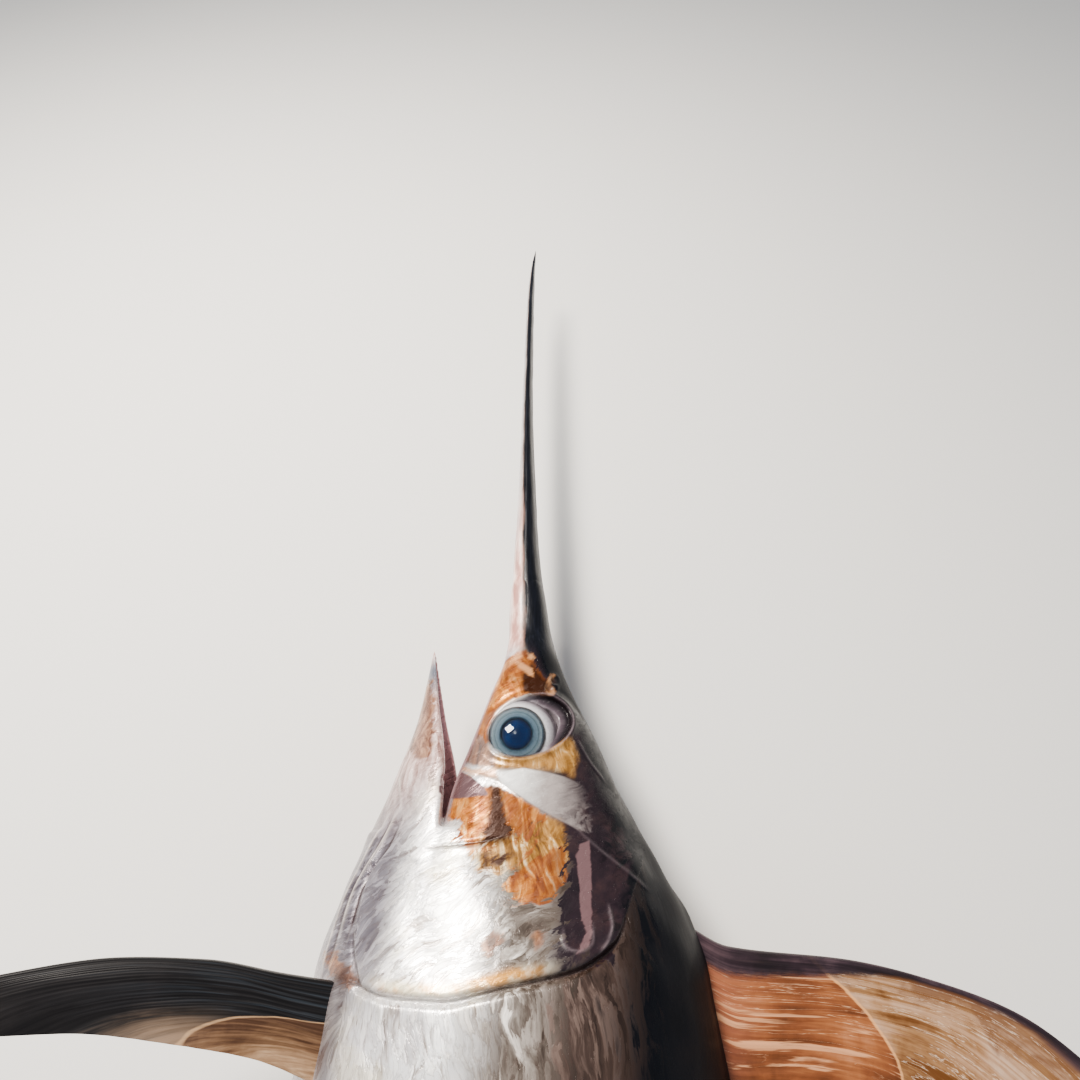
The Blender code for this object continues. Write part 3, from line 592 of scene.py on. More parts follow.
# Two shallow grooves run along each face, and the faces are a little uneven
groove = bell(np.abs(bill_left) / half - 0.42, 0.10)
groove = groove * ease(*GROOVE_START, rings) * (1 - ease(*GROOVE_STOP, rings))
bill_back = bill_back - np.sign(c) * GROOVE_DEPTH * groove * np.minimum(thick / 0.005, 1)
uneven = np.stack([bill_back.ravel(), bill_behind.ravel() * 0.35, bill_left.ravel()], axis=1)
uneven = swell(uneven, UNEVEN_SIZE, 11).reshape(bill_back.shape)
bill_back = bill_back + UNEVENNESS * uneven * np.sign(c)
bill_points = to_world(np.stack([bill_back, bill_behind, bill_left], axis=-1)).reshape(-1, 3)
bill = outward(new_object("bill_sword", bill_points, tube_faces(BILL_RINGS, BILL_AROUND)))

# Horn-like skin over bone: smoother than the flank, not metallic, wet, with a grain of 0.5 to 2 mm that
# runs the whole length. The head's skin takes over its colours at the root.
bill_skin, tree, shader = new_material(
    "bill_skin_over_bone", Coat_Weight=0.30, Coat_Roughness=0.14, IOR=1.40)


def bill_colours(tree, place):
    """The bill's colour from its pale underside to its blue-black back, and the grain it is drawn with."""
    drawn_out = add(tree, "ShaderNodeMapping", {0: place, "Scale": (1, 1 / GRAIN_STRETCH, 1)})
    grain = add(tree, "ShaderNodeTexNoise", {
        0: drawn_out, "Scale": 1000 / BILL_GRAIN, "Detail": 5, "Roughness": 0.6, "Distortion": 0.4})
    drawn_out = add(tree, "ShaderNodeMapping", {0: place, "Scale": (1, 1 / CLOUD_STRETCH, 1)})
    cloud = add(tree, "ShaderNodeTexNoise", {
        0: drawn_out, "Scale": 1000 / BILL_CLOUD, "Detail": 5, "Roughness": 0.6})
    height, root = (
        add(tree, "ShaderNodeAttribute", attribute_name=name).outputs["Fac"] for name in ("height", "root"))
    height = weighed(tree, cloud, 0.30, root, -0.10, height)
    pale = add(tree, "ShaderNodeValToRGB", {0: height}, stops=(
        (0.14, "#d5d8de"), (0.27, "#a8a2a2"), (0.40, "#675c5c")))
    glint = add(tree, "ShaderNodeMapRange", {0: grain, 1: 0.48, 2: 0.70, 3: 0.0, 4: 0.5})
    rosy = add(tree, "ShaderNodeValToRGB", {0: cloud}, stops=(
        (0.38, "#b98a80"), (0.47, "#deb3a6"), (0.56, "#f5d8cd"), (0.66, "#fdeee8")))
    dark = add(tree, "ShaderNodeValToRGB", {0: grain}, stops=(
        (0.32, "#03040a"), (0.52, "#080a14"), (0.70, "#151824")))
    return layered(
        tree, pale, (glint, "#efeae8"), (root, rosy), ((height, 0.36, 0.44, 0.0, 0.85), "#4a3228"),
        ((height, 0.42, 0.50, 0.0, 1.0), dark)), grain


def paint_bill(mesh, back, behind):
    """Keeps how high each point lies between the bill's underside and its back, and how near its root."""
    under, top = curve(BILL_UNDER, behind), curve(BILL_TOP, behind)
    paint(mesh, "height", np.clip((back - under) / (top - under), 0, 1))
    paint(mesh, "root", ease(-0.20, -0.06, behind))


paint_bill(bill.data, bill_back.ravel(), bill_behind.ravel())
finish, grain = bill_colours(tree, add(tree, "ShaderNodeTexCoord").outputs["Object"])
gloss = add(tree, "ShaderNodeMapRange", {0: grain, 1: 0.3, 2: 0.7, 3: 0.26, 4: 0.42})
bump = add(tree, "ShaderNodeBump", {"Strength": 0.5, "Distance": 0.0005, "Height": grain})
feed(tree, shader, Base_Color=finish, Roughness=gloss, Normal=bump)
bill.data.materials.append(bill_skin)
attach(bill, "root")
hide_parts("bill")


# The skin's colours
# Fresh skin mirrors like crumpled foil on the cheeks and belly, and goes through grey and plum to a
# blue-black back. Where it is rubbed it shows copper and gold. Each patch of colour is painted as the
# distance inside its outline, in millimetres, and the material tears that edge.

# The level where the dark back begins, and how far below it the skin is plain silver
DUSK_LINE = (
    (-0.512, 0.0143), (-0.420, 0.0086), (-0.275, 0.0064), (-0.136, 0.0069), (-0.060, 0.0080),
    (-0.020, 0.0100), (0.005, 0.0150), (0.027, 0.0210), (0.056, 0.0400), (0.079, 0.0450), (0.102, 0.0520),
    (0.124, 0.0550), (0.145, 0.0600), (0.160, 0.0610), (0.221, 0.0560), (0.300, 0.0470), (0.400, 0.0340),
    (0.550, 0.0150), (0.700, -0.0020), (0.820, -0.0120), (0.900, -0.0120), (0.992, -0.0100))
SILVER_DEPTH = (
    (-0.060, 0.013), (0.000, 0.028), (0.030, 0.045), (0.060, 0.080), (0.100, 0.130), (0.160, 0.165),
    (0.280, 0.166), (0.400, 0.150), (0.550, 0.112), (0.700, 0.066), (0.820, 0.032), (0.900, 0.018),
    (0.992, 0.010))
# Outlines of the patches on the flank, as places back and behind
PATCHES = {
    "mauve": (
        ((-0.044, 0.082), (-0.042, 0.084), (-0.026, 0.093), (-0.017, 0.100), (-0.014, 0.105),
         (-0.027, 0.106), (-0.036, 0.106), (-0.045, 0.103)),
        ((0.0405, 0.132), (0.0460, 0.130), (0.0462, 0.143), (0.0445, 0.163), (0.0440, 0.174),
         (0.0415, 0.181), (0.0350, 0.183), (0.0385, 0.179), (0.0405, 0.174), (0.0385, 0.166),
         (0.0390, 0.150), (0.0370, 0.138)),
    ),
    "tan": (
        ((-0.0168, 0.0600), (-0.0149, 0.0760), (-0.0083, 0.0822), (-0.0017, 0.0845), (-0.0015, 0.0902),
         (-0.0101, 0.0887), (-0.0251, 0.0869), (-0.0430, 0.0780), (-0.0380, 0.0640), (-0.0320, 0.0536)),
        ((-0.071, 0.020), (-0.062, 0.022), (-0.056, 0.055), (-0.053, 0.081), (-0.063, 0.080),
         (-0.072, 0.071), (-0.074, 0.050)),
        ((-0.104, 0.186), (-0.094, 0.183), (-0.084, 0.190), (-0.074, 0.194), (-0.082, 0.197),
         (-0.093, 0.195)),
        ((-0.014, 0.179), (-0.008, 0.174), (-0.002, 0.177), (-0.008, 0.184)),
        ((0.012, 0.175), (0.016, 0.171), (0.019, 0.175), (0.015, 0.180)),
    ),
    "gold": (
        ((-0.012, 0.080), (0.011, 0.080), (0.017, 0.077), (0.027, 0.071), (0.038, 0.069), (0.042, 0.080),
         (0.038, 0.093), (0.027, 0.090), (0.015, 0.090), (0.000, 0.091), (-0.009, 0.090)),
        ((0.004, 0.124), (0.013, 0.119), (0.022, 0.118), (0.031, 0.123), (0.035, 0.131), (0.034, 0.142),
         (0.023, 0.150), (0.010, 0.152), (0.004, 0.146), (-0.007, 0.147), (-0.018, 0.145),
         (-0.021, 0.137), (-0.014, 0.128)),
    ),
    "copper": (
        ((-0.0114, 0.0239), (-0.0100, 0.0120), (0.0010, 0.0050), (0.0073, 0.0040), (0.0135, 0.0120),
         (0.0160, 0.0200), (0.0225, 0.0270), (0.0228, 0.0343), (0.0203, 0.0394), (0.0109, 0.0395),
         (0.0031, 0.0418), (-0.0046, 0.0457), (-0.0099, 0.0502), (-0.0150, 0.0570), (-0.0168, 0.0648),
         (-0.0163, 0.0728), (-0.0290, 0.0594), (-0.0253, 0.0371), (-0.0163, 0.0319)),
        ((-0.039, 0.112), (-0.034, 0.101), (-0.025, 0.102), (-0.015, 0.100), (-0.007, 0.100),
         (0.003, 0.106), (0.015, 0.112), (0.019, 0.118), (0.013, 0.126), (0.006, 0.130), (-0.007, 0.131),
         (-0.020, 0.135), (-0.029, 0.129), (-0.030, 0.121), (-0.039, 0.117)),
        ((-0.001, 0.149), (0.006, 0.143), (0.011, 0.139), (0.015, 0.132), (0.019, 0.139), (0.032, 0.134),
         (0.034, 0.147), (0.031, 0.154), (0.026, 0.158), (0.020, 0.160), (0.013, 0.161), (0.008, 0.160),
         (0.001, 0.160), (-0.002, 0.153)),
    ),
    "scorched": (
        ((-0.0130, 0.099), (-0.0062, 0.099), (-0.0040, 0.110), (-0.0015, 0.120), (0.0040, 0.127),
         (-0.0030, 0.132), (-0.0155, 0.132), (-0.0145, 0.121), (-0.0128, 0.110)),
        ((-0.016, 0.138), (-0.005, 0.137), (0.002, 0.138), (-0.004, 0.143), (-0.014, 0.143)),
        ((0.0067, 0.0194), (0.0123, 0.0140), (0.0165, 0.0230), (0.0225, 0.0280), (0.0232, 0.0343),
         (0.0203, 0.0395), (0.0109, 0.0400), (0.0060, 0.0366), (0.0044, 0.0304)),
    ),
    "plum": (
        ((0.032, 0.125), (0.040, 0.124), (0.052, 0.130), (0.062, 0.146), (0.063, 0.168), (0.050, 0.188),
         (0.038, 0.186), (0.030, 0.180), (0.027, 0.172), (0.027, 0.160), (0.032, 0.148)),
    ),
    "ivory": (
        ((-0.007, 0.0915), (0.007, 0.0890), (0.020, 0.0910), (0.032, 0.0935), (0.044, 0.0980),
         (0.058, 0.1060), (0.056, 0.1220), (0.044, 0.1270), (0.036, 0.1225), (0.026, 0.1175),
         (0.014, 0.1115), (0.003, 0.1045), (-0.005, 0.0995), (-0.008, 0.0955)),
    ),
    "cream": (
        ((-0.0009, 0.0121), (0.0033, 0.0126), (0.0124, 0.0194), (0.0128, 0.0259), (0.0100, 0.0241),
         (0.0026, 0.0183)),
        ((0.0090, 0.0070), (0.0123, 0.0060), (0.0140, 0.0098), (0.0123, 0.0123), (0.0090, 0.0113)),
        ((-0.0123, 0.0110), (-0.0077, 0.0141), (0.0023, 0.0067), (0.0040, 0.0088), (-0.0009, 0.0131),
         (-0.0083, 0.0191)),
        ((0.0229, 0.0269), (0.0254, 0.0226), (0.0275, 0.0225), (0.0270, 0.0261), (0.0252, 0.0312),
         (0.0283, 0.0360), (0.0266, 0.0391), (0.0235, 0.0395), (0.0220, 0.0344)),
        ((-0.0550, 0.0790), (-0.0420, 0.0800), (-0.0250, 0.0885), (-0.0100, 0.0895), (-0.0080, 0.0960),
         (-0.0180, 0.0945), (-0.0280, 0.0915), (-0.0420, 0.0830), (-0.0540, 0.0825)),
    ),
}


def inside(outline, back, behind):
    """How far inside a closed outline each place lies, in millimetres, and negative outside it."""
    best = np.full(len(back), 1.0)
    within = np.zeros(len(back), bool)
    for (b0, s0), (b1, s1) in zip(outline, outline[1:] + outline[:1]):
        share = ((back - b0) * (b1 - b0) + (behind - s0) * (s1 - s0)) / ((b1 - b0) ** 2 + (s1 - s0) ** 2)
        share = np.clip(share, 0, 1)
        best = np.minimum(best, np.hypot(back - b0 - share * (b1 - b0), behind - s0 - share * (s1 - s0)))
        if s0 != s1:
            crossing = b0 + (behind - s0) * (b1 - b0) / (s1 - s0)
            within ^= ((s0 > behind) != (s1 > behind)) & (back < crossing)
    return 1000 * np.where(within, best, -best)


under_jaw = back < curve(JAW_TOP, behind) + 0.003
on_jaw = under_jaw & (behind < MOUTH_CORNER + 0.006)
for name, outlines in PATCHES.items():
    depth = np.full(len(back), -40.0)
    for outline in outlines:
        middle_back, middle_behind = np.mean(outline, axis=0)
        jaw_patch = middle_back < -0.055 and middle_behind < 0.1
        near = np.flatnonzero((behind < 0.26) & (outside > 0.3) & (on_jaw == jaw_patch))
        depth[near] = np.maximum(depth[near], inside(outline, back[near], behind[near]))
    paint(grown, name, depth)
downward = -facing[:, 0]
jaw_lining = ease(0.15, -0.15, facing[:, 2] * side) * (downward < 0.5)
palate = ease(0.50, 0.85, downward) * ease(0.80, 0.70, out / curve(HALF_WIDTH, behind))
lining = np.where(under_jaw, jaw_lining, palate * ease(-0.050, 0.010, behind))
dusk = (back - curve(DUSK_LINE, behind)) / curve(SILVER_DEPTH, behind)
crumpled = 0.30 + 0.70 * np.maximum(ease(0.105, 0.135, behind), ease(-0.040, -0.055, back))
on_trunk = np.maximum(ease(0.0, 0.002, cover_past), behind > 0.235)
skin_fields = dict(
    lining=lining * ease(0.128, 0.118, behind) * (back < curve(LIP_LINE, behind) + 0.012),
    jaw=under_jaw * ease(0.135, 0.070, behind) * (back < -0.035),
    # A painted reflection of blue sky: bluish grey on the tip of the lower jaw.
    jaw_tip_sky_reflection=0.95 * under_jaw * ease(0.045, 0.010, behind),
    # The throat gets a painted shade: a dim lilac-grey laid over its silver.
    throat=0.95 * ease(-0.052, -0.074, back) * ease(0.215, 0.180, behind) * ease(0.050, 0.105, behind),
    # Painted shade: lilac-grey on the skin that faces towards the belly, strongest where it faces most that
    # way.
    belly=0.80 * ease(0.15, 0.80, downward),
    dusk=dusk,
    matt=ease(0.10, 0.20, dusk) * ease(0.42, 0.34, behind),
    crumpled=crumpled * (1 - 0.30 * ease(0.20, 0.24, behind)) * (1 - 0.55 * ease(0.30, 0.55, behind)),
    on_trunk=np.where(back < -0.082, ease(0.160, 0.235, behind), on_trunk),
    cover_rim=(
        1.2 * bell(cover_past + 0.0032, 0.0026) * ease(-0.072, -0.052, back) * ease(0.030, -0.005, back)),
    crease_shade=0.85 * np.clip(crease_shade, 0, 1),
    pale_ridge_and_highlight=np.clip(pale_ridge_and_highlight, 0, 1),
    socket=ease(1.02, 0.93, orbit),
    shaded=shaded,
    sword=ease(0.014, -0.008, behind))
for name, values in skin_fields.items():
    paint(grown, name, values)
paint_bill(grown, back, behind)

# Bare skin over a mirror layer of tiny crystals: part metal to the light, under a clear wet film. It is
# crumpled into facets about 3 mm wide and 15 mm long, which run slanting on the gill cover and along the
# fish behind it. Each facet has its own tone, and the patches of colour tear along them.
FACET, FOIL, STREAK, CLOUD, SWIRL, BLOTCH = 2.941, 6.250, 5.263, 22.73, 41.67, 52.63       # millimetres
FACET_STRETCH = 5                               # facets, foil and streaks are this many times as long
COVER_LEAN, TRUNK_LEAN = math.radians(32), math.radians(96)
silver_skin, tree, shader = new_material("silver_fish_skin", Coat_Roughness=0.14, IOR=1.40)
fields = {name: add(tree, "ShaderNodeAttribute", attribute_name=name).outputs["Fac"]
          for name in (*PATCHES, *skin_fields)}
place = add(tree, "ShaderNodeTexCoord").outputs["Object"]
swirl = add(tree, "ShaderNodeTexNoise", {0: place, "Scale": 1000 / SWIRL, "Detail": 2}).outputs["Color"]
swirl = add(tree, "ShaderNodeVectorMath", {0: swirl, 1: (0.5, 0.5, 0.5)}, operation="SUBTRACT")
bent = add(tree, "ShaderNodeVectorMath", {0: swirl, 1: (0.022, 0.022, 0.022), 2: place},
           operation="MULTIPLY_ADD")
slanting, lengthwise = (
    add(tree, "ShaderNodeMapping", {0: bent, "Rotation": (0, 0, lean), "Scale": (FACET_STRETCH, 1, 1)},
        vector_type="TEXTURE") for lean in (COVER_LEAN, TRUNK_LEAN))
drawn = add(tree, "ShaderNodeMix", {0: fields["on_trunk"], 4: slanting, 5: lengthwise}, data_type="VECTOR")
foil = add(tree, "ShaderNodeTexNoise", {
    0: drawn, "Scale": 1000 / FOIL, "Detail": 6, "Roughness": 0.62, "Distortion": 0.3})
ragged = add(tree, "ShaderNodeVectorMath", {0: foil.outputs["Color"], 1: (0.010, 0.010, 0.010), 2: drawn},
             operation="MULTIPLY_ADD")
facet = add(tree, "ShaderNodeTexVoronoi", {0: ragged, "Scale": 1000 / FACET}).outputs["Color"]
fold = add(tree, "ShaderNodeTexVoronoi", {0: ragged, "Scale": 1000 / FACET}, feature="DISTANCE_TO_EDGE")
fold = add(tree, "ShaderNodeMapRange", {0: fold, 1: 0.0, 2: 0.14, 3: 1.0, 4: 0.0})
cloud = add(tree, "ShaderNodeTexNoise", {
    0: place, "Scale": 1000 / CLOUD, "Detail": 6, "Roughness": 0.62})
blotch, streak = (
    add(tree, "ShaderNodeTexNoise", {
        0: vector, "Scale": 1000 / size, "Detail": 5, "Roughness": 0.6, "Distortion": 0.6})
    for vector, size in ((place, BLOTCH), (lengthwise, STREAK)))
# The tone is 0.5 on the mean facet, and it varies less on the smooth head. The shade grows to the back
tone = add(tree, "ShaderNodeMath", {0: weighed(tree, facet, 0.30, foil), 1: 0.65}, operation="SUBTRACT")
tone = weighed(tree, tone, fields["crumpled"], 0.5)
shade = weighed(tree, tone, 0.40, fields["dusk"], 1.0, -0.20)
tear = weighed(tree, tone, 30.0, -15.0)
torn = {}
for name, soft, share in (
        ("mauve", 0.6, 0.12), ("tan", 2.0, 0.5), ("gold", 3.0, 0.6), ("copper", 1.4, 0.8),
        ("scorched", 2.4, 0.50), ("plum", 0.5, 1.0), ("ivory", 0.8, 0.05), ("cream", 1.6, 0.45)):
    depth = weighed(tree, tear, share, fields[name])
    torn[name] = add(
        tree, "ShaderNodeMapRange", {0: depth, 1: -soft, 2: soft}, interpolation_type="SMOOTHSTEP")
contrast = add(tree, "ShaderNodeMapRange", {0: fields["crumpled"], 1: 0.3, 2: 1.0, 3: 0.65, 4: 1.0})
sheet = add(tree, "ShaderNodeMath", {0: streak, 1: 0.52}, operation="SUBTRACT")
sheet = weighed(tree, sheet, contrast, 0.52)
silver, grey, lilac, pink, throat, plum, umber, night, brown, gold, copper, shaded_socket_wall = (
    add(tree, "ShaderNodeValToRGB", {0: source}, stops=stops) for source, stops in (
        (tone, (
            (0.28, "#988d85"), (0.37, "#d6cfc9"), (0.42, "#f8f5f3"), (0.47, "#ffffff"), (0.80, "#fffdf6"))),
        (tone, (
            (0.30, "#40362f"), (0.42, "#5f564f"), (0.50, "#7b736c"), (0.58, "#9f9891"), (0.70, "#e6e0d9"))),
        (tone, ((0.32, "#726671"), (0.44, "#8e838a"), (0.53, "#aaa0a5"), (0.66, "#d3c9ca"))),
        (streak, ((0.32, "#7a5950"), (0.44, "#ad8a82"), (0.54, "#d6b9b3"), (0.68, "#f6e6e1"))),
        (tone, ((0.32, "#5f5a63"), (0.44, "#6d6870"), (0.53, "#7b7780"), (0.66, "#9b979f"))),
        (cloud, ((0.35, "#21171d"), (0.50, "#2b1f25"), (0.66, "#3c2b2d"))),
        (tone, ((0.34, "#2a1f1a"), (0.50, "#463832"), (0.64, "#6c5c55"))),
        (cloud, ((0.35, "#020308"), (0.52, "#05060e"), (0.70, "#100c10"))),
        (streak, ((0.34, "#4c2c1b"), (0.50, "#7b4f33"), (0.66, "#b3825c"))),
        (sheet, ((0.34, "#563a1e"), (0.46, "#87602f"), (0.55, "#b0864f"), (0.68, "#ecd8b2"))),
        (sheet, (
            (0.32, "#5f3015"), (0.42, "#8c4c1f"), (0.51, "#b87332"), (0.59, "#e09f5a"), (0.68, "#f3cfa2"))),
        (fields["shaded"], ((0.0, "#cfcaca"), (0.30, "#a1989e"), (0.60, "#5c5158"), (1.0, "#1f191d")))))
# Masks, each a source that is read from one value to another as one strength to another
(burnt, copper_shade, greyer, golden, ridge_tint_on_dark_skin, faded, straw, lilac_seen, grey_seen, umber_seen, night_seen) = (
    add(tree, "ShaderNodeMapRange", dict(enumerate(numbers))) for numbers in (
        (cloud, 0.40, 0.60, 0.65, 0.0), (fields["dusk"], -0.38, -0.06, 0.0, 0.9), (shade, -0.40, -0.24),
        (cloud, 0.45, 0.58), (shade, -0.50, -0.28), (shade, -0.20, -0.04, 1.0, 0.0),
        (blotch, 0.53, 0.64, 0.0, 0.5), (blotch, 0.44, 0.36, 0.0, 0.40), (shade, -0.51, -0.38),
        (shade, -0.26, -0.16), (shade, -0.03, 0.09)))
folded, tanned, banded, creamy, pale_ridge_and_highlight_mask = (
    add(tree, "ShaderNodeMath", {0: source, 1: share}, operation="MULTIPLY") for source, share in (
        (fold, 0.30), (torn["tan"], 0.85), (torn["ivory"], faded), (torn["cream"], 0.8),
        (fields["pale_ridge_and_highlight"], foil)))
sword, grain = bill_colours(tree, place)
finish = layered(
    tree, silver,
    (straw, "#f5ebc4"),
    (lilac_seen, lilac),
    (grey_seen, grey),
    # Painted shade on the skin that faces towards the belly
    (fields["belly"], lilac),
    # Painted shade on the throat
    (fields["throat"], throat),
    (folded, "#5f5049"),
    (umber_seen, layered(tree, plum, (fields["on_trunk"], umber))),
    (fields["jaw"], pink),
    # Painted sky reflection on the jaw's tip
    (fields["jaw_tip_sky_reflection"], "#69727f"),
    (tanned, brown),
    (torn["gold"], gold),
    # The copper takes a painted shade towards the back, besides the burnt clouds of its own
    (torn["copper"], layered(tree, copper, (burnt, "#7a4420"), (copper_shade, "#5c3117"))),
    (torn["scorched"], "#361a08"),
    (torn["plum"], plum),
    (torn["mauve"], "#6e5658"),
    (banded, layered(tree, "#fffffb", (greyer, "#a09794"))),
    (night_seen, night),
    (fields["sword"], sword),
    (creamy, "#c9956a"),
    (fields["cover_rim"], layered(tree, "#fbf0d2", (golden, "#c9924a"))),
    # Pale ridge lines, partly painted highlight, greyer on the darker skin
    (pale_ridge_and_highlight_mask, layered(tree, "#f2e6dc", (ridge_tint_on_dark_skin, "#8f8286"))),
    # Painted shade in the grooves, the gill slit, round the pectoral root and in the nostrils
    (fields["crease_shade"], "#3a2926"),
    (fields["lining"], layered(tree, "#ab8a8d", (cloud, "#cfb4b7"))),
    # Painted shade inside the orbit
    (fields["socket"], shaded_socket_wall))
calm = add(tree, "ShaderNodeMapRange", {0: fields["dusk"], 1: -0.2, 2: 0.1, 3: 1.0, 4: 0.25})
relief = weighed(tree, fold, -0.06, weighed(tree, facet, 0.25, foil))
relief = add(tree, "ShaderNodeMath", {0: relief, 1: calm}, operation="MULTIPLY")
grain_relief = add(tree, "ShaderNodeMath", {0: grain, 1: 0.45}, operation="MULTIPLY")
grain_gloss = add(tree, "ShaderNodeMapRange", {0: grain, 1: 0.3, 2: 0.7, 3: 0.26, 4: 0.42})
gleam = add(tree, "ShaderNodeMapRange", {0: shade, 1: -0.55, 2: -0.25, 3: 0.40, 4: 0.06})
gloss = add(tree, "ShaderNodeMapRange", {0: facet, 1: 0.2, 2: 0.8, 3: 0.20, 4: 0.42})
gloss = add(tree, "ShaderNodeMix", {0: fields["matt"], 2: gloss, 3: 0.62})
film = add(tree, "ShaderNodeMapRange", {0: shade, 1: -0.2, 2: 0.05, 3: 0.55, 4: 0.06})
film = add(tree, "ShaderNodeMix", {0: torn["scorched"], 2: film, 3: 0.05})
relief, gloss, film, gleam = (
    add(tree, "ShaderNodeMix", {0: fields["sword"], 2: on_skin, 3: on_bill})
    for on_skin, on_bill in ((relief, grain_relief), (gloss, grain_gloss), (film, 0.30), (gleam, 0.0)))
bump = add(tree, "ShaderNodeBump", {"Strength": 0.55, "Distance": 0.0011, "Height": relief})
feed(tree, shader, Base_Color=finish, Metallic=gleam, Roughness=gloss, Coat_Weight=film, Normal=bump)
grown.materials.clear()
grown.materials.append(silver_skin)
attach(skin, "root")
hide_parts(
    "head", "lower_jaw", "gill_cover_left", "gill_cover_right", "trunk_front", "trunk_rear",
    "tail_stock", "keel_left", "keel_right")


# The eyes
# A swordfish hunts in the dark, so its eyes are as big as plums: a silver globe, a grey-blue iris round a
# wide navy pupil, and a clear domed cornea over both. The globe is a loose fit in its orbit.

GAZE = (-0.05, 0.02, 1.0)                  # towards the back, behind and outwards
CORNEA_ANGLE = math.radians(42.5)
PUPIL_SHARE = 0.53                         # of the cornea's angle
CORNEA_SKIRT = 1.12                        # how far it runs on under the globe's edge, of that angle
CORNEA_RISE = 0.0034
IRIS_DEPTH = 0.0010
PUPIL_DEPTH = 0.0016
EYE_AROUND = 160
GLOBE_RINGS = 130
IRIS_CLOUD, IRIS_FIBRE = 4.167, 1.111      # millimetres


def eye_points(side, lean, rise):
    """Rows of points round the gaze, each row at one lean from it and one rise from the globe."""
    gaze = np.array(GAZE) / np.linalg.norm(GAZE)
    first = np.cross(gaze, (0, 1, 0))
    first /= np.linalg.norm(first)
    second = np.cross(gaze, first)
    turn = 2 * math.pi * np.arange(EYE_AROUND)[None, :, None] / EYE_AROUND
    lean, rise = lean[:, None, None], rise[:, None, None]
    unit = np.cos(lean) * gaze + np.sin(lean) * (np.cos(turn) * first + np.sin(turn) * second)
    local = np.array(EYE_CENTRE) + unit * (np.array(GLOBE_RADII) + rise)
    under_skin = np.minimum(local[..., 2], flank(local[..., 0], local[..., 1]) - 0.003)
    local[..., 2] = side * np.where(orbit_share(local[..., 0], local[..., 1]) > 1, under_skin, local[..., 2])
    return local


def eye_sheet(name, side, lean, rise):
    """A skin over rows of eye points, closed at the middle of the gaze and at the other end."""
    return outward(new_object(name, to_world(eye_points(side, lean, rise)).reshape(-1, 3),
                              tube_faces(len(lean), EYE_AROUND)))


lean = np.concatenate([np.linspace(0.004, CORNEA_ANGLE * 1.06, 3 * GLOBE_RINGS // 4),
                       np.linspace(CORNEA_ANGLE * 1.10, math.pi - 0.01, GLOBE_RINGS // 4)])
ring = lean / CORNEA_ANGLE
sunk = -IRIS_DEPTH * ease(1.02, 0.92, ring)
sunk = sunk - PUPIL_DEPTH * ease(PUPIL_SHARE + 0.03, PUPIL_SHARE - 0.03, ring)
sunk = sunk + 0.0022 * ease(PUPIL_SHARE, 0.0, ring) + 0.00035 * bell(ring - PUPIL_SHARE - 0.05, 0.03)
cover_lean = np.linspace(0.004, CORNEA_ANGLE * CORNEA_SKIRT, GLOBE_RINGS)
dome = CORNEA_RISE * np.clip(1 - (cover_lean / (CORNEA_ANGLE * 1.04)) ** 2, 0, 1) ** 0.8
dome = dome + 0.00025 - 0.0006 * ease(1.04, CORNEA_SKIRT, cover_lean / CORNEA_ANGLE)
under_dome = np.full(20, -0.0012)
under_lean = np.linspace(CORNEA_ANGLE * CORNEA_SKIRT, CORNEA_ANGLE * 1.02, 20)

# The globe: a silver-white coat round the eye and a fibrous grey-blue iris in rings, each 1 to 3 mm wide,
# matt because the cornea over it carries the gloss. A dark ring round the cornea's edge and the coat's
# darkening towards the back of the globe are painted shade.
globe_coat, tree, shader = new_material("eye_globe_and_iris", Coat_Roughness=0.05, IOR=1.38)
place = add(tree, "ShaderNodeTexCoord").outputs["Object"]
ring_field = add(tree, "ShaderNodeAttribute", attribute_name="ring").outputs["Fac"]
cloud = add(tree, "ShaderNodeTexNoise", {
    0: place, "Scale": 1000 / IRIS_CLOUD, "Detail": 4, "Roughness": 0.6, "Distortion": 0.6})
fibre = add(tree, "ShaderNodeTexNoise", {
    0: place, "Scale": 1000 / IRIS_FIBRE, "Detail": 3, "Roughness": 0.6})
halved = weighed(tree, cloud, 0.07, ring_field)
halved = add(tree, "ShaderNodeMath", {0: halved, 1: 0.5}, operation="MULTIPLY")
# Painted shade: the dark band just inside the cornea's edge, and the coat darkening from about 0.6 outwards
finish = add(tree, "ShaderNodeValToRGB", {0: halved}, stops=(
    (0.00, "#00224a"), (0.20, "#002b5c"), (0.265, "#001c3e"), (0.282, "#020a18"), (0.294, "#3d5563"),
    (0.322, "#64798a"), (0.378, "#7c919c"), (0.392, "#4c626f"), (0.408, "#72858f"), (0.455, "#93a1a8"),
    (0.470, "#5a6b79"), (0.490, "#36424d"), (0.512, "#1d2026"), (0.530, "#94908f"), (0.543, "#dcdadb"),
    (0.600, "#c9c7ca"), (0.690, "#a9a4a9"), (0.780, "#7f787d"), (0.880, "#5b5257"), (1.00, "#2a2024")))
fleck = add(tree, "ShaderNodeMapRange", {0: fibre, 1: 0.35, 2: 0.70, 3: 0.82, 4: 1.10})
finish = add(tree, "ShaderNodeMix", {0: 1.0, 6: finish, 7: fleck}, data_type="RGBA", blend_type="MULTIPLY")
gloss = add(tree, "ShaderNodeMapRange", {0: ring_field, 1: 1.0, 2: 1.1, 3: 0.30, 4: 0.42})
film = add(tree, "ShaderNodeMapRange", {0: ring_field, 1: 1.02, 2: 1.10, 3: 0.0, 4: 0.8})
bump = add(tree, "ShaderNodeBump", {"Strength": 0.25, "Distance": 0.0003, "Height": fibre})
feed(tree, shader, Base_Color=finish, Roughness=gloss, Coat_Weight=film, Normal=bump)

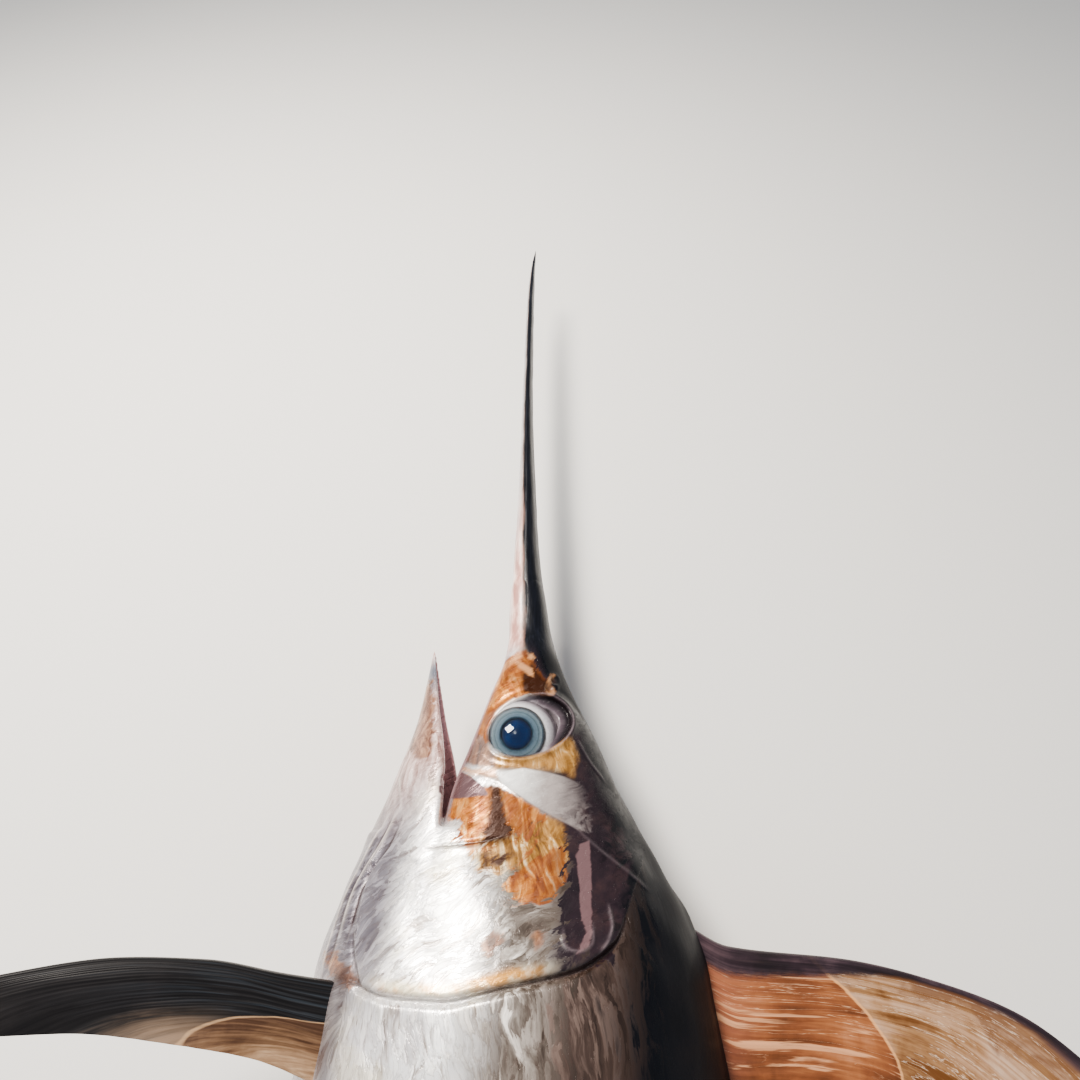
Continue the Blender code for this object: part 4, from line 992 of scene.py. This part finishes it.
# The cornea: clear living tissue that bends light about as water does, with a wet and perfectly smooth face.
cornea_coat, tree, shader = new_material(
    "clear_cornea", Transmission_Weight=1.0, Roughness=0.015, IOR=1.336, Coat_Weight=0.3,
    Coat_Roughness=0.01)
shader.inputs["Base Color"].default_value = colour("#f4f8fa")

for side_name, side_of in (("left", 1), ("right", -1)):
    globe = eye_sheet("eyeball_" + side_name, side_of, lean, sunk)
    paint(globe.data, "ring", np.repeat(ring, EYE_AROUND))
    globe.data.materials.append(globe_coat)
    cornea = eye_sheet("cornea_" + side_name, side_of, np.concatenate([cover_lean, under_lean]),
                       np.concatenate([dome, under_dome]))
    cornea.data.materials.append(cornea_coat)
    for piece in (globe, cornea):
        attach(piece, "root")
        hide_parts("eye_" + side_name)


# The fins
# Each fin is a fan of jointed bony rays that fork towards the margin, with wet leathery skin drawn over
# them. The rays show as close ridges, the front edge is a stiff blunt spine, and the margins are worn.

FIN_EDGE = 0.0004
FIN_THINNING = 0.55
RAY_HEIGHT = 0.00010
WEAR = 0.006                                # of the fin's reach, between the rays
NICKS = 7
NICK_PLACE, NICK_DEPTH, NICK_WIDTH = (0.08, 0.97), (0.004, 0.020), (0.006, 0.02)
SPINE_SHARE, REAR_SHARE = 0.025, 0.02       # of the fin's width, where its front and rear edges round off
LONG_WAVE, SHORT_WAVE = 0.0011, 0.0007      # how far the fin waves off its plane
FIN_STROKE, FIN_SCUFF, FIN_CLOUD, FIN_FRAY = 8.333, 11.11, 45.45, 5.0     # how wide each is, in millimetres
# Each fin has a base, a leading edge and a margin, and its rays run from the base to the margin
DORSAL = dict(
    base=((0.086, 0.156, 0), (0.104, 0.220, 0), (0.104, 0.316, 0)),
    leading=((0.086, 0.156, 0), (0.112, 0.175, 0), (0.132, 0.184, 0), (0.204, 0.191, 0), (0.261, 0.204, 0),
             (0.301, 0.220, 0), (0.365, 0.282, 0)),
    margin=((0.365, 0.282, 0), (0.310, 0.267, 0), (0.255, 0.266, 0), (0.205, 0.274, 0), (0.165, 0.292, 0),
            (0.134, 0.320, 0), (0.108, 0.324, 0)),
    rays=30, rows=150, thick=0.0050, seed=21)
SECOND_DORSAL = dict(
    base=((0.022, 0.876, 0), (0.018, 0.902, 0)),
    leading=((0.022, 0.876, 0), (0.045, 0.893, 0), (0.060, 0.914, 0)),
    margin=((0.060, 0.914, 0), (0.042, 0.913, 0), (0.034, 0.928, 0), (0.020, 0.908, 0)),
    rays=6, rows=40, thick=0.0022, seed=22)
ANAL = dict(
    base=((-0.060, 0.650, 0), (-0.052, 0.700, 0), (-0.044, 0.748, 0)),
    leading=((-0.060, 0.650, 0), (-0.098, 0.674, 0), (-0.138, 0.702, 0), (-0.168, 0.738, 0)),
    margin=((-0.168, 0.738, 0), (-0.126, 0.727, 0), (-0.098, 0.738, 0), (-0.074, 0.768, 0),
            (-0.044, 0.756, 0)),
    rays=16, rows=90, thick=0.0036, seed=23)
SECOND_ANAL = dict(
    base=((-0.024, 0.862, 0), (-0.019, 0.890, 0)),
    leading=((-0.024, 0.862, 0), (-0.047, 0.880, 0), (-0.063, 0.902, 0)),
    margin=((-0.063, 0.902, 0), (-0.044, 0.901, 0), (-0.036, 0.916, 0), (-0.021, 0.896, 0)),
    rays=6, rows=40, thick=0.0022, seed=24)
UPPER_LOBE = dict(
    base=((0.0165, 0.958, 0), (0.0002, 0.986, 0)),
    leading=((0.0165, 0.958, 0), (0.033, 0.982, 0), (0.078, 1.027, 0), (0.134, 1.083, 0), (0.192, 1.152, 0)),
    margin=((0.192, 1.152, 0), (0.146, 1.120, 0), (0.098, 1.091, 0), (0.048, 1.065, 0), (0.0002, 1.046, 0)),
    rays=18, rows=120, thick=0.0055, seed=25)
LOWER_LOBE = dict(UPPER_LOBE, seed=26)
for line in ("base", "leading", "margin"):
    LOWER_LOBE[line] = tuple((-b, s, 0) for b, s, _ in UPPER_LOBE[line])
SPREAD = dict(
    base=((-0.083, 0.197, 0.045), (-0.085, 0.238, 0.046)),
    leading=((-0.083, 0.197, 0.045), (-0.116, 0.191, 0.059), (-0.151, 0.184, 0.073), (-0.186, 0.182, 0.088),
             (-0.227, 0.187, 0.106), (-0.268, 0.200, 0.123), (-0.297, 0.222, 0.135)),
    margin=((-0.297, 0.222, 0.135), (-0.250, 0.209, 0.115), (-0.201, 0.210, 0.094), (-0.154, 0.217, 0.075),
            (-0.124, 0.224, 0.062), (-0.090, 0.238, 0.048)),
    rays=20, rows=140, thick=0.0040, seed=27)
FOLDED = dict(
    base=((-0.085, 0.203, -0.046), (-0.080, 0.238, -0.048)),
    leading=((-0.085, 0.203, -0.046), (-0.113, 0.222, -0.058), (-0.134, 0.262, -0.067),
             (-0.142, 0.325, -0.070), (-0.128, 0.412, -0.068)),
    margin=((-0.128, 0.412, -0.068), (-0.116, 0.350, -0.068), (-0.108, 0.300, -0.067),
            (-0.099, 0.262, -0.062), (-0.083, 0.240, -0.050)),
    rays=20, rows=110, thick=0.0034, seed=28)


def sheet_faces(columns, rows):
    """Faces of two grids back to back, one of them turned over, and the rim between them."""
    count = columns * rows
    i, j = np.meshgrid(np.arange(columns - 1), np.arange(rows - 1), indexing="ij")
    a = (i * rows + j).ravel()
    front = np.stack([a, a + rows, a + rows + 1, a + 1], axis=1)
    faces = np.concatenate([front, count + front[:, ::-1]]).tolist()
    rim = [i * rows for i in range(columns)] + [(columns - 1) * rows + j for j in range(1, rows)]
    rim += [i * rows + rows - 1 for i in range(columns - 2, -1, -1)] + list(range(rows - 2, 0, -1))
    faces += [[b, a, count + a, count + b] for a, b in zip(rim, rim[1:] + rim[:1])]
    return faces


def fin(name, base, leading, margin, rays, rows, thick, seed):
    """A fin from its root to its margin. u counts across its rays and w from the root outwards."""
    fine = 10
    columns, rows = rays * fine + 1, rows // 1
    u, w = np.linspace(0, 1, columns)[:, None], np.linspace(0, 1, rows)[None, :]
    foot, end = along(base, u[:, 0])[:, None, :], along(margin, u[:, 0])[:, None, :]
    start, tip = np.array(base[0]), np.array(margin[0])
    bow = along(leading, w[0]) - (w[0, :, None] * tip + (1 - w[0, :, None]) * start)
    pick = np.random.default_rng(seed)
    # The margin is worn: a little shorter between the rays, and nicked here and there
    worn = WEAR * (0.5 + 0.5 * np.cos(2 * math.pi * rays * u))
    nicks = [pick.uniform(*span, NICKS) for span in (NICK_PLACE, NICK_DEPTH, NICK_WIDTH)]
    for place, size, wide in zip(*nicks):
        worn = worn + size * bell(u - place, wide)
    reach = w * (1 - worn * ease(0.0, 0.06, u) * ease(0.55, 1.0, w))
    grid = (1 - reach[..., None]) * foot + reach[..., None] * end + ((1 - u) ** 1.6)[..., None] * bow
    grid = to_world(grid)
    normal = np.cross(np.gradient(grid, axis=0), np.gradient(grid, axis=1))
    normal /= np.linalg.norm(normal, axis=2)[:, :, None]
    # Each ray forks into two on its way out
    turn = 2 * math.pi * rays * u
    forked = ease(0.35, 0.60, w)
    ray = (0.5 + 0.5 * np.cos(turn)) ** 1.5 * (1 - forked) + (0.5 + 0.5 * np.cos(2 * turn)) * forked
    ray = ray * ease(0.02, 0.10, u) * (1 - 0.6 * ease(0.6, 1.0, w))
    body = FIN_EDGE + (thick - FIN_EDGE) * (1 - w) ** 1.3 * (1 - FIN_THINNING * u)
    blunt = np.sqrt(np.clip(1 - (1 - np.minimum(u / SPINE_SHARE, 1)) ** 2, 0.04, 1))
    blunt = blunt * np.sqrt(np.clip(1 - (1 - np.minimum((1 - u) / REAR_SHARE, 1)) ** 2, 0.04, 1))
    half = (body + (0.035 * body + RAY_HEIGHT) * ray * (1 - w) ** 0.35) * blunt
    wave = LONG_WAVE * np.sin(7 * u + 3.1 * w + seed) + SHORT_WAVE * np.sin(17 * u - 5 * w + 2 * seed)
    middle = grid + normal * (wave * w * ease(0, 0.1, u))[..., None]
    points = np.concatenate([(middle + normal * half[..., None]).reshape(-1, 3),
                             (middle - normal * half[..., None]).reshape(-1, 3)])
    points[:, 2] = np.maximum(points[:, 2], 0)
    made = outward(new_object(name, points, sheet_faces(columns, rows)))
    long = np.linalg.norm(np.diff(grid, axis=1), axis=2).mean() * (rows - 1)
    for field, values in (("u", u + 0 * w), ("w", w + 0 * u), ("ray", ray), ("length", w * long + 0 * u)):
        paint(made.data, field, np.tile(values.ravel(), 2))
    return made


def fin_material(name):
    """A wet fin material with only the fields and patterns on it that its colours are drawn from."""
    made, tree, shader = new_material(name, Coat_Weight=0.15, Coat_Roughness=0.24, IOR=1.40)
    kit = {field: add(tree, "ShaderNodeAttribute", attribute_name=field).outputs["Fac"]
           for field in ("u", "w", "ray", "length")}
    across = add(tree, "ShaderNodeMath", {0: kit["u"], 1: 0.25}, operation="MULTIPLY")
    fan = add(tree, "ShaderNodeCombineXYZ", {0: across, 1: kit["length"]})
    # Strokes run along the rays, six times as long as wide, scuffs lean over them, and clouds pass over
    # both.
    # The scuffs give relief, and on the first dorsal their pale streaks are painted glints
    lengthened = add(tree, "ShaderNodeMapping", {0: fan, "Scale": (1, 0.16, 1)})
    leaned = add(tree, "ShaderNodeMapping", {0: fan, "Rotation": (0, 0, 0.30), "Scale": (1, 0.13, 1)})
    object_place = add(tree, "ShaderNodeTexCoord").outputs["Object"]
    for pattern, place, size, roughness, distortion in (
            ("stroke", lengthened, FIN_STROKE, 0.58, 0.3), ("scuff_and_glint", leaned, FIN_SCUFF, 0.56, 0.3),
            ("cloud", object_place, FIN_CLOUD, 0.6, 0.4)):
        kit[pattern] = add(tree, "ShaderNodeTexNoise", {
            0: place, "Scale": 1000 / size, "Detail": 6, "Roughness": roughness, "Distortion": distortion})
    kit["mix"] = weighed(tree, kit["stroke"], 0.5, kit["cloud"], 0.5, 0.0)
    gloss = add(tree, "ShaderNodeMapRange", {0: kit["stroke"], 1: 0.35, 2: 0.65, 3: 0.40, 4: 0.56})
    relief = weighed(tree, kit["scuff_and_glint"], 0.4, kit["stroke"])
    bump = add(tree, "ShaderNodeBump", {"Strength": 0.22, "Distance": 0.0008, "Height": relief})
    feed(tree, shader, Roughness=gloss, Normal=bump)
    return made, tree, shader, kit


def shared(tree, *masks):
    """The product of masks that are each a source, its low and high end, and the strength there."""
    first, *others = (add(tree, "ShaderNodeMapRange", dict(enumerate(mask)), interpolation_type="SMOOTHSTEP")
                      for mask in masks)
    for other in others:
        first = add(tree, "ShaderNodeMath", {0: first, 1: other}, operation="MULTIPLY")
    return first


# The first dorsal: terracotta hide with painted glints in pale streaks along the leaning scuffs, a blotched
# beige outer half past a slanting fold seam, and a purple-brown front edge that frays into it near the root
copper_fin_hide, tree, shader, kit = fin_material("copper_brown_fin_hide")
u, w, stroke, scuff_and_glint, cloud = (kit[name] for name in ("u", "w", "stroke", "scuff_and_glint", "cloud"))
hide, beige, dark = (
    add(tree, "ShaderNodeValToRGB", {0: kit["mix"]}, stops=stops) for stops in (
        ((0.38, "#54301b"), (0.48, "#7b492c"), (0.56, "#955e3a"), (0.66, "#b07a57")),
        ((0.39, "#66411f"), (0.46, "#95704e"), (0.53, "#b08e72"), (0.64, "#c7ad98")),
        ((0.42, "#1b151b"), (0.50, "#2a2029"), (0.60, "#4d3d44"))))
fold = weighed(tree, u, u, 0.0)
fold = weighed(tree, fold, -1.35, u, -0.42, w, 1.0, stroke, 0.02, -0.33)
seam = add(tree, "ShaderNodeMath", {0: fold}, operation="ABSOLUTE")
hair = add(tree, "ShaderNodeMath", {0: weighed(tree, scuff_and_glint, 1.0, -0.5)}, operation="ABSOLUTE")
hair = weighed(tree, shared(tree, (u, 0.35, 0.65, 0.0, 0.02)), 1.0, hair)
thread = add(tree, "ShaderNodeMath", {0: weighed(tree, stroke, 1.0, -0.47)}, operation="ABSOLUTE")
frayed_place = add(tree, "ShaderNodeCombineXYZ", {0: weighed(tree, u, 12.0, 0.0), 1: kit["length"]})
fray = add(tree, "ShaderNodeTexNoise", {0: frayed_place, "Scale": 1000 / FIN_FRAY, "Detail": 3})
border = weighed(
    tree, u, 1.0, cloud, -0.05, stroke, -0.05, shared(tree, (w, 0.06, 0.60, 0.066, 0.018)), -1.0,
    fray, shared(tree, (w, 0.30, 0.55, -0.14, -0.03)), 0.05)
beyond = (fold, 0.0, 0.02, 0.0, 1.0)
blotch = weighed(tree, cloud, 1.0, u, -0.9, 0.0)
finish = layered(
    tree, hide,
    ((w, 0.30, 0.02, 0.0, 0.60), "#a26552"),
    # Painted glints: pale streaks along the leaning scuff pattern
    ((scuff_and_glint, 0.585, 0.635, 0.0, 0.72), "#d9a57f"),
    ((hair, 0.0, 0.010, 0.45, 0.0), "#eec3a0"),
    ((fold, -0.006, 0.006, 0.0, 1.0), beige),
    (shared(tree, beyond, (blotch, 0.36, 0.50, 0.0, 0.8)), "#6b4526"),
    (shared(tree, beyond, (hair, 0.0, 0.012, 0.55, 0.0)), "#7a5238"),
    (shared(tree, beyond, (thread, 0.0, 0.012, 0.5, 0.0)), "#f0dcc8"),
    ((seam, 0.002, 0.008, 0.7, 0.0), "#e0aa78"),
    ((kit["ray"], 0.25, 0.0, 0.0, 0.22), "#6b3f28"),
    ((w, 0.065, 0.01, 0.0, 0.85), "#37272f"),
    ((border, -0.012, 0.022, 0.97, 0.0), dark))
feed(tree, shader, Base_Color=finish)


def slate(tree, kit):
    """The slate hide that the other fins share."""
    hide = add(tree, "ShaderNodeValToRGB", {0: kit["mix"]}, stops=(
        (0.36, "#0e0c0d"), (0.50, "#161314"), (0.66, "#242020")))
    bloom = shared(tree, (kit["stroke"], 0.48, 0.66, 0.0, 0.55), (kit["w"], 0.75, 0.15, 0.15, 1.0))
    return layered(tree, hide, (bloom, "#35404a"), ((kit["ray"], 0.25, 0.0, 0.0, 0.30), "#0e0c0d"))


# The other fins: smooth slate-brown hide with a dull bluish bloom near the root. The pectorals have a tan
# inner corner behind a pale arc, and a greyer margin beyond it.
slate_fin_hide, tree, shader, kit = fin_material("slate_brown_fin_hide")
feed(tree, shader, Base_Color=slate(tree, kit))
tan_fin_hide, tree, shader, kit = fin_material("slate_and_tan_fin_hide")
arc = weighed(tree, kit["w"], -0.26, kit["u"], 1.0, kit["cloud"], 0.04, -0.44)
arc_line = add(tree, "ShaderNodeMath", {0: arc}, operation="ABSOLUTE")
tan = weighed(tree, kit["u"], 0.55, kit["mix"], 0.9, -0.40)
tan = add(tree, "ShaderNodeValToRGB", {0: tan}, stops=(
    (0.34, "#4a3324"), (0.44, "#6f543e"), (0.56, "#967a60"), (0.72, "#c2a78c")))
grey = weighed(tree, kit["stroke"], 0.25, arc, 1.0, kit["w"], 0.10, 0.0)
finish = layered(
    tree, slate(tree, kit),
    (shared(tree, (grey, 0.04, 0.22, 0.0, 1.0), (kit["w"], 0.40, 0.95, 0.0, 1.0)), "#7d6856"),
    ((arc, -0.004, 0.004, 0.0, 1.0), tan),
    ((arc_line, 0.002, 0.010, 0.8, 0.0), "#a98b6d"))
feed(tree, shader, Base_Color=finish)
for name, shape, finish in (
        ("dorsal_fin_first", DORSAL, copper_fin_hide), ("dorsal_fin_second", SECOND_DORSAL, slate_fin_hide),
        ("anal_fin_first", ANAL, slate_fin_hide), ("anal_fin_second", SECOND_ANAL, slate_fin_hide),
        ("tail_fin_upper", UPPER_LOBE, slate_fin_hide), ("tail_fin_lower", LOWER_LOBE, slate_fin_hide),
        ("pectoral_fin_left", SPREAD, tan_fin_hide), ("pectoral_fin_right", FOLDED, tan_fin_hide)):
    made = fin("living_" + name, **shape)
    made.data.materials.append(finish)
    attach(made, "root")
    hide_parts(name)


# The studio
# A plain pale floor under one soft lamp. The lamp stands above the belly and the tip of the bill, so the
# silver cheek is bright and the back falls into shade, and the pale surroundings fill the shadows.

FLOOR_REACH = 30
KEY_PLACE, KEY_AIM = Vector((-0.68, 0.85, 1.50)), Vector((-0.03, 0.12, 0.12))
KEY_SIZE, KEY_POWER = 0.50, 57
SURROUND_STRENGTH = 0.45

corners = [(x * FLOOR_REACH, y * FLOOR_REACH, 0) for x, y in ((-1, -1), (1, -1), (1, 1), (-1, 1))]
floor = new_object("floor", corners, [(0, 1, 2, 3)])
pale_floor, tree, shader = new_material("matt_pale_floor_paint", Roughness=0.85)
shader.inputs["Base Color"].default_value = colour("#e9e7e3")
floor.data.materials.append(pale_floor)

light = bpy.data.lights.new("key", "AREA")
light.shape, light.size, light.size_y = "RECTANGLE", KEY_SIZE, KEY_SIZE
light.energy, light.color = KEY_POWER, colour("#fff8ef")[:3]
key = bpy.data.objects.new("key", light)
key.location = KEY_PLACE
key.rotation_euler = (KEY_AIM - KEY_PLACE).to_track_quat("-Z", "Y").to_euler()
bpy.context.scene.collection.objects.link(key)
surroundings = bpy.data.worlds.new("studio")
bpy.context.scene.world = surroundings
surroundings.use_nodes = True
backdrop = surroundings.node_tree.nodes["Background"]
backdrop.inputs["Color"].default_value = colour("#e6ecf5")
backdrop.inputs["Strength"].default_value = SURROUND_STRENGTH
bpy.context.scene.view_settings.look = "AgX - Medium High Contrast"
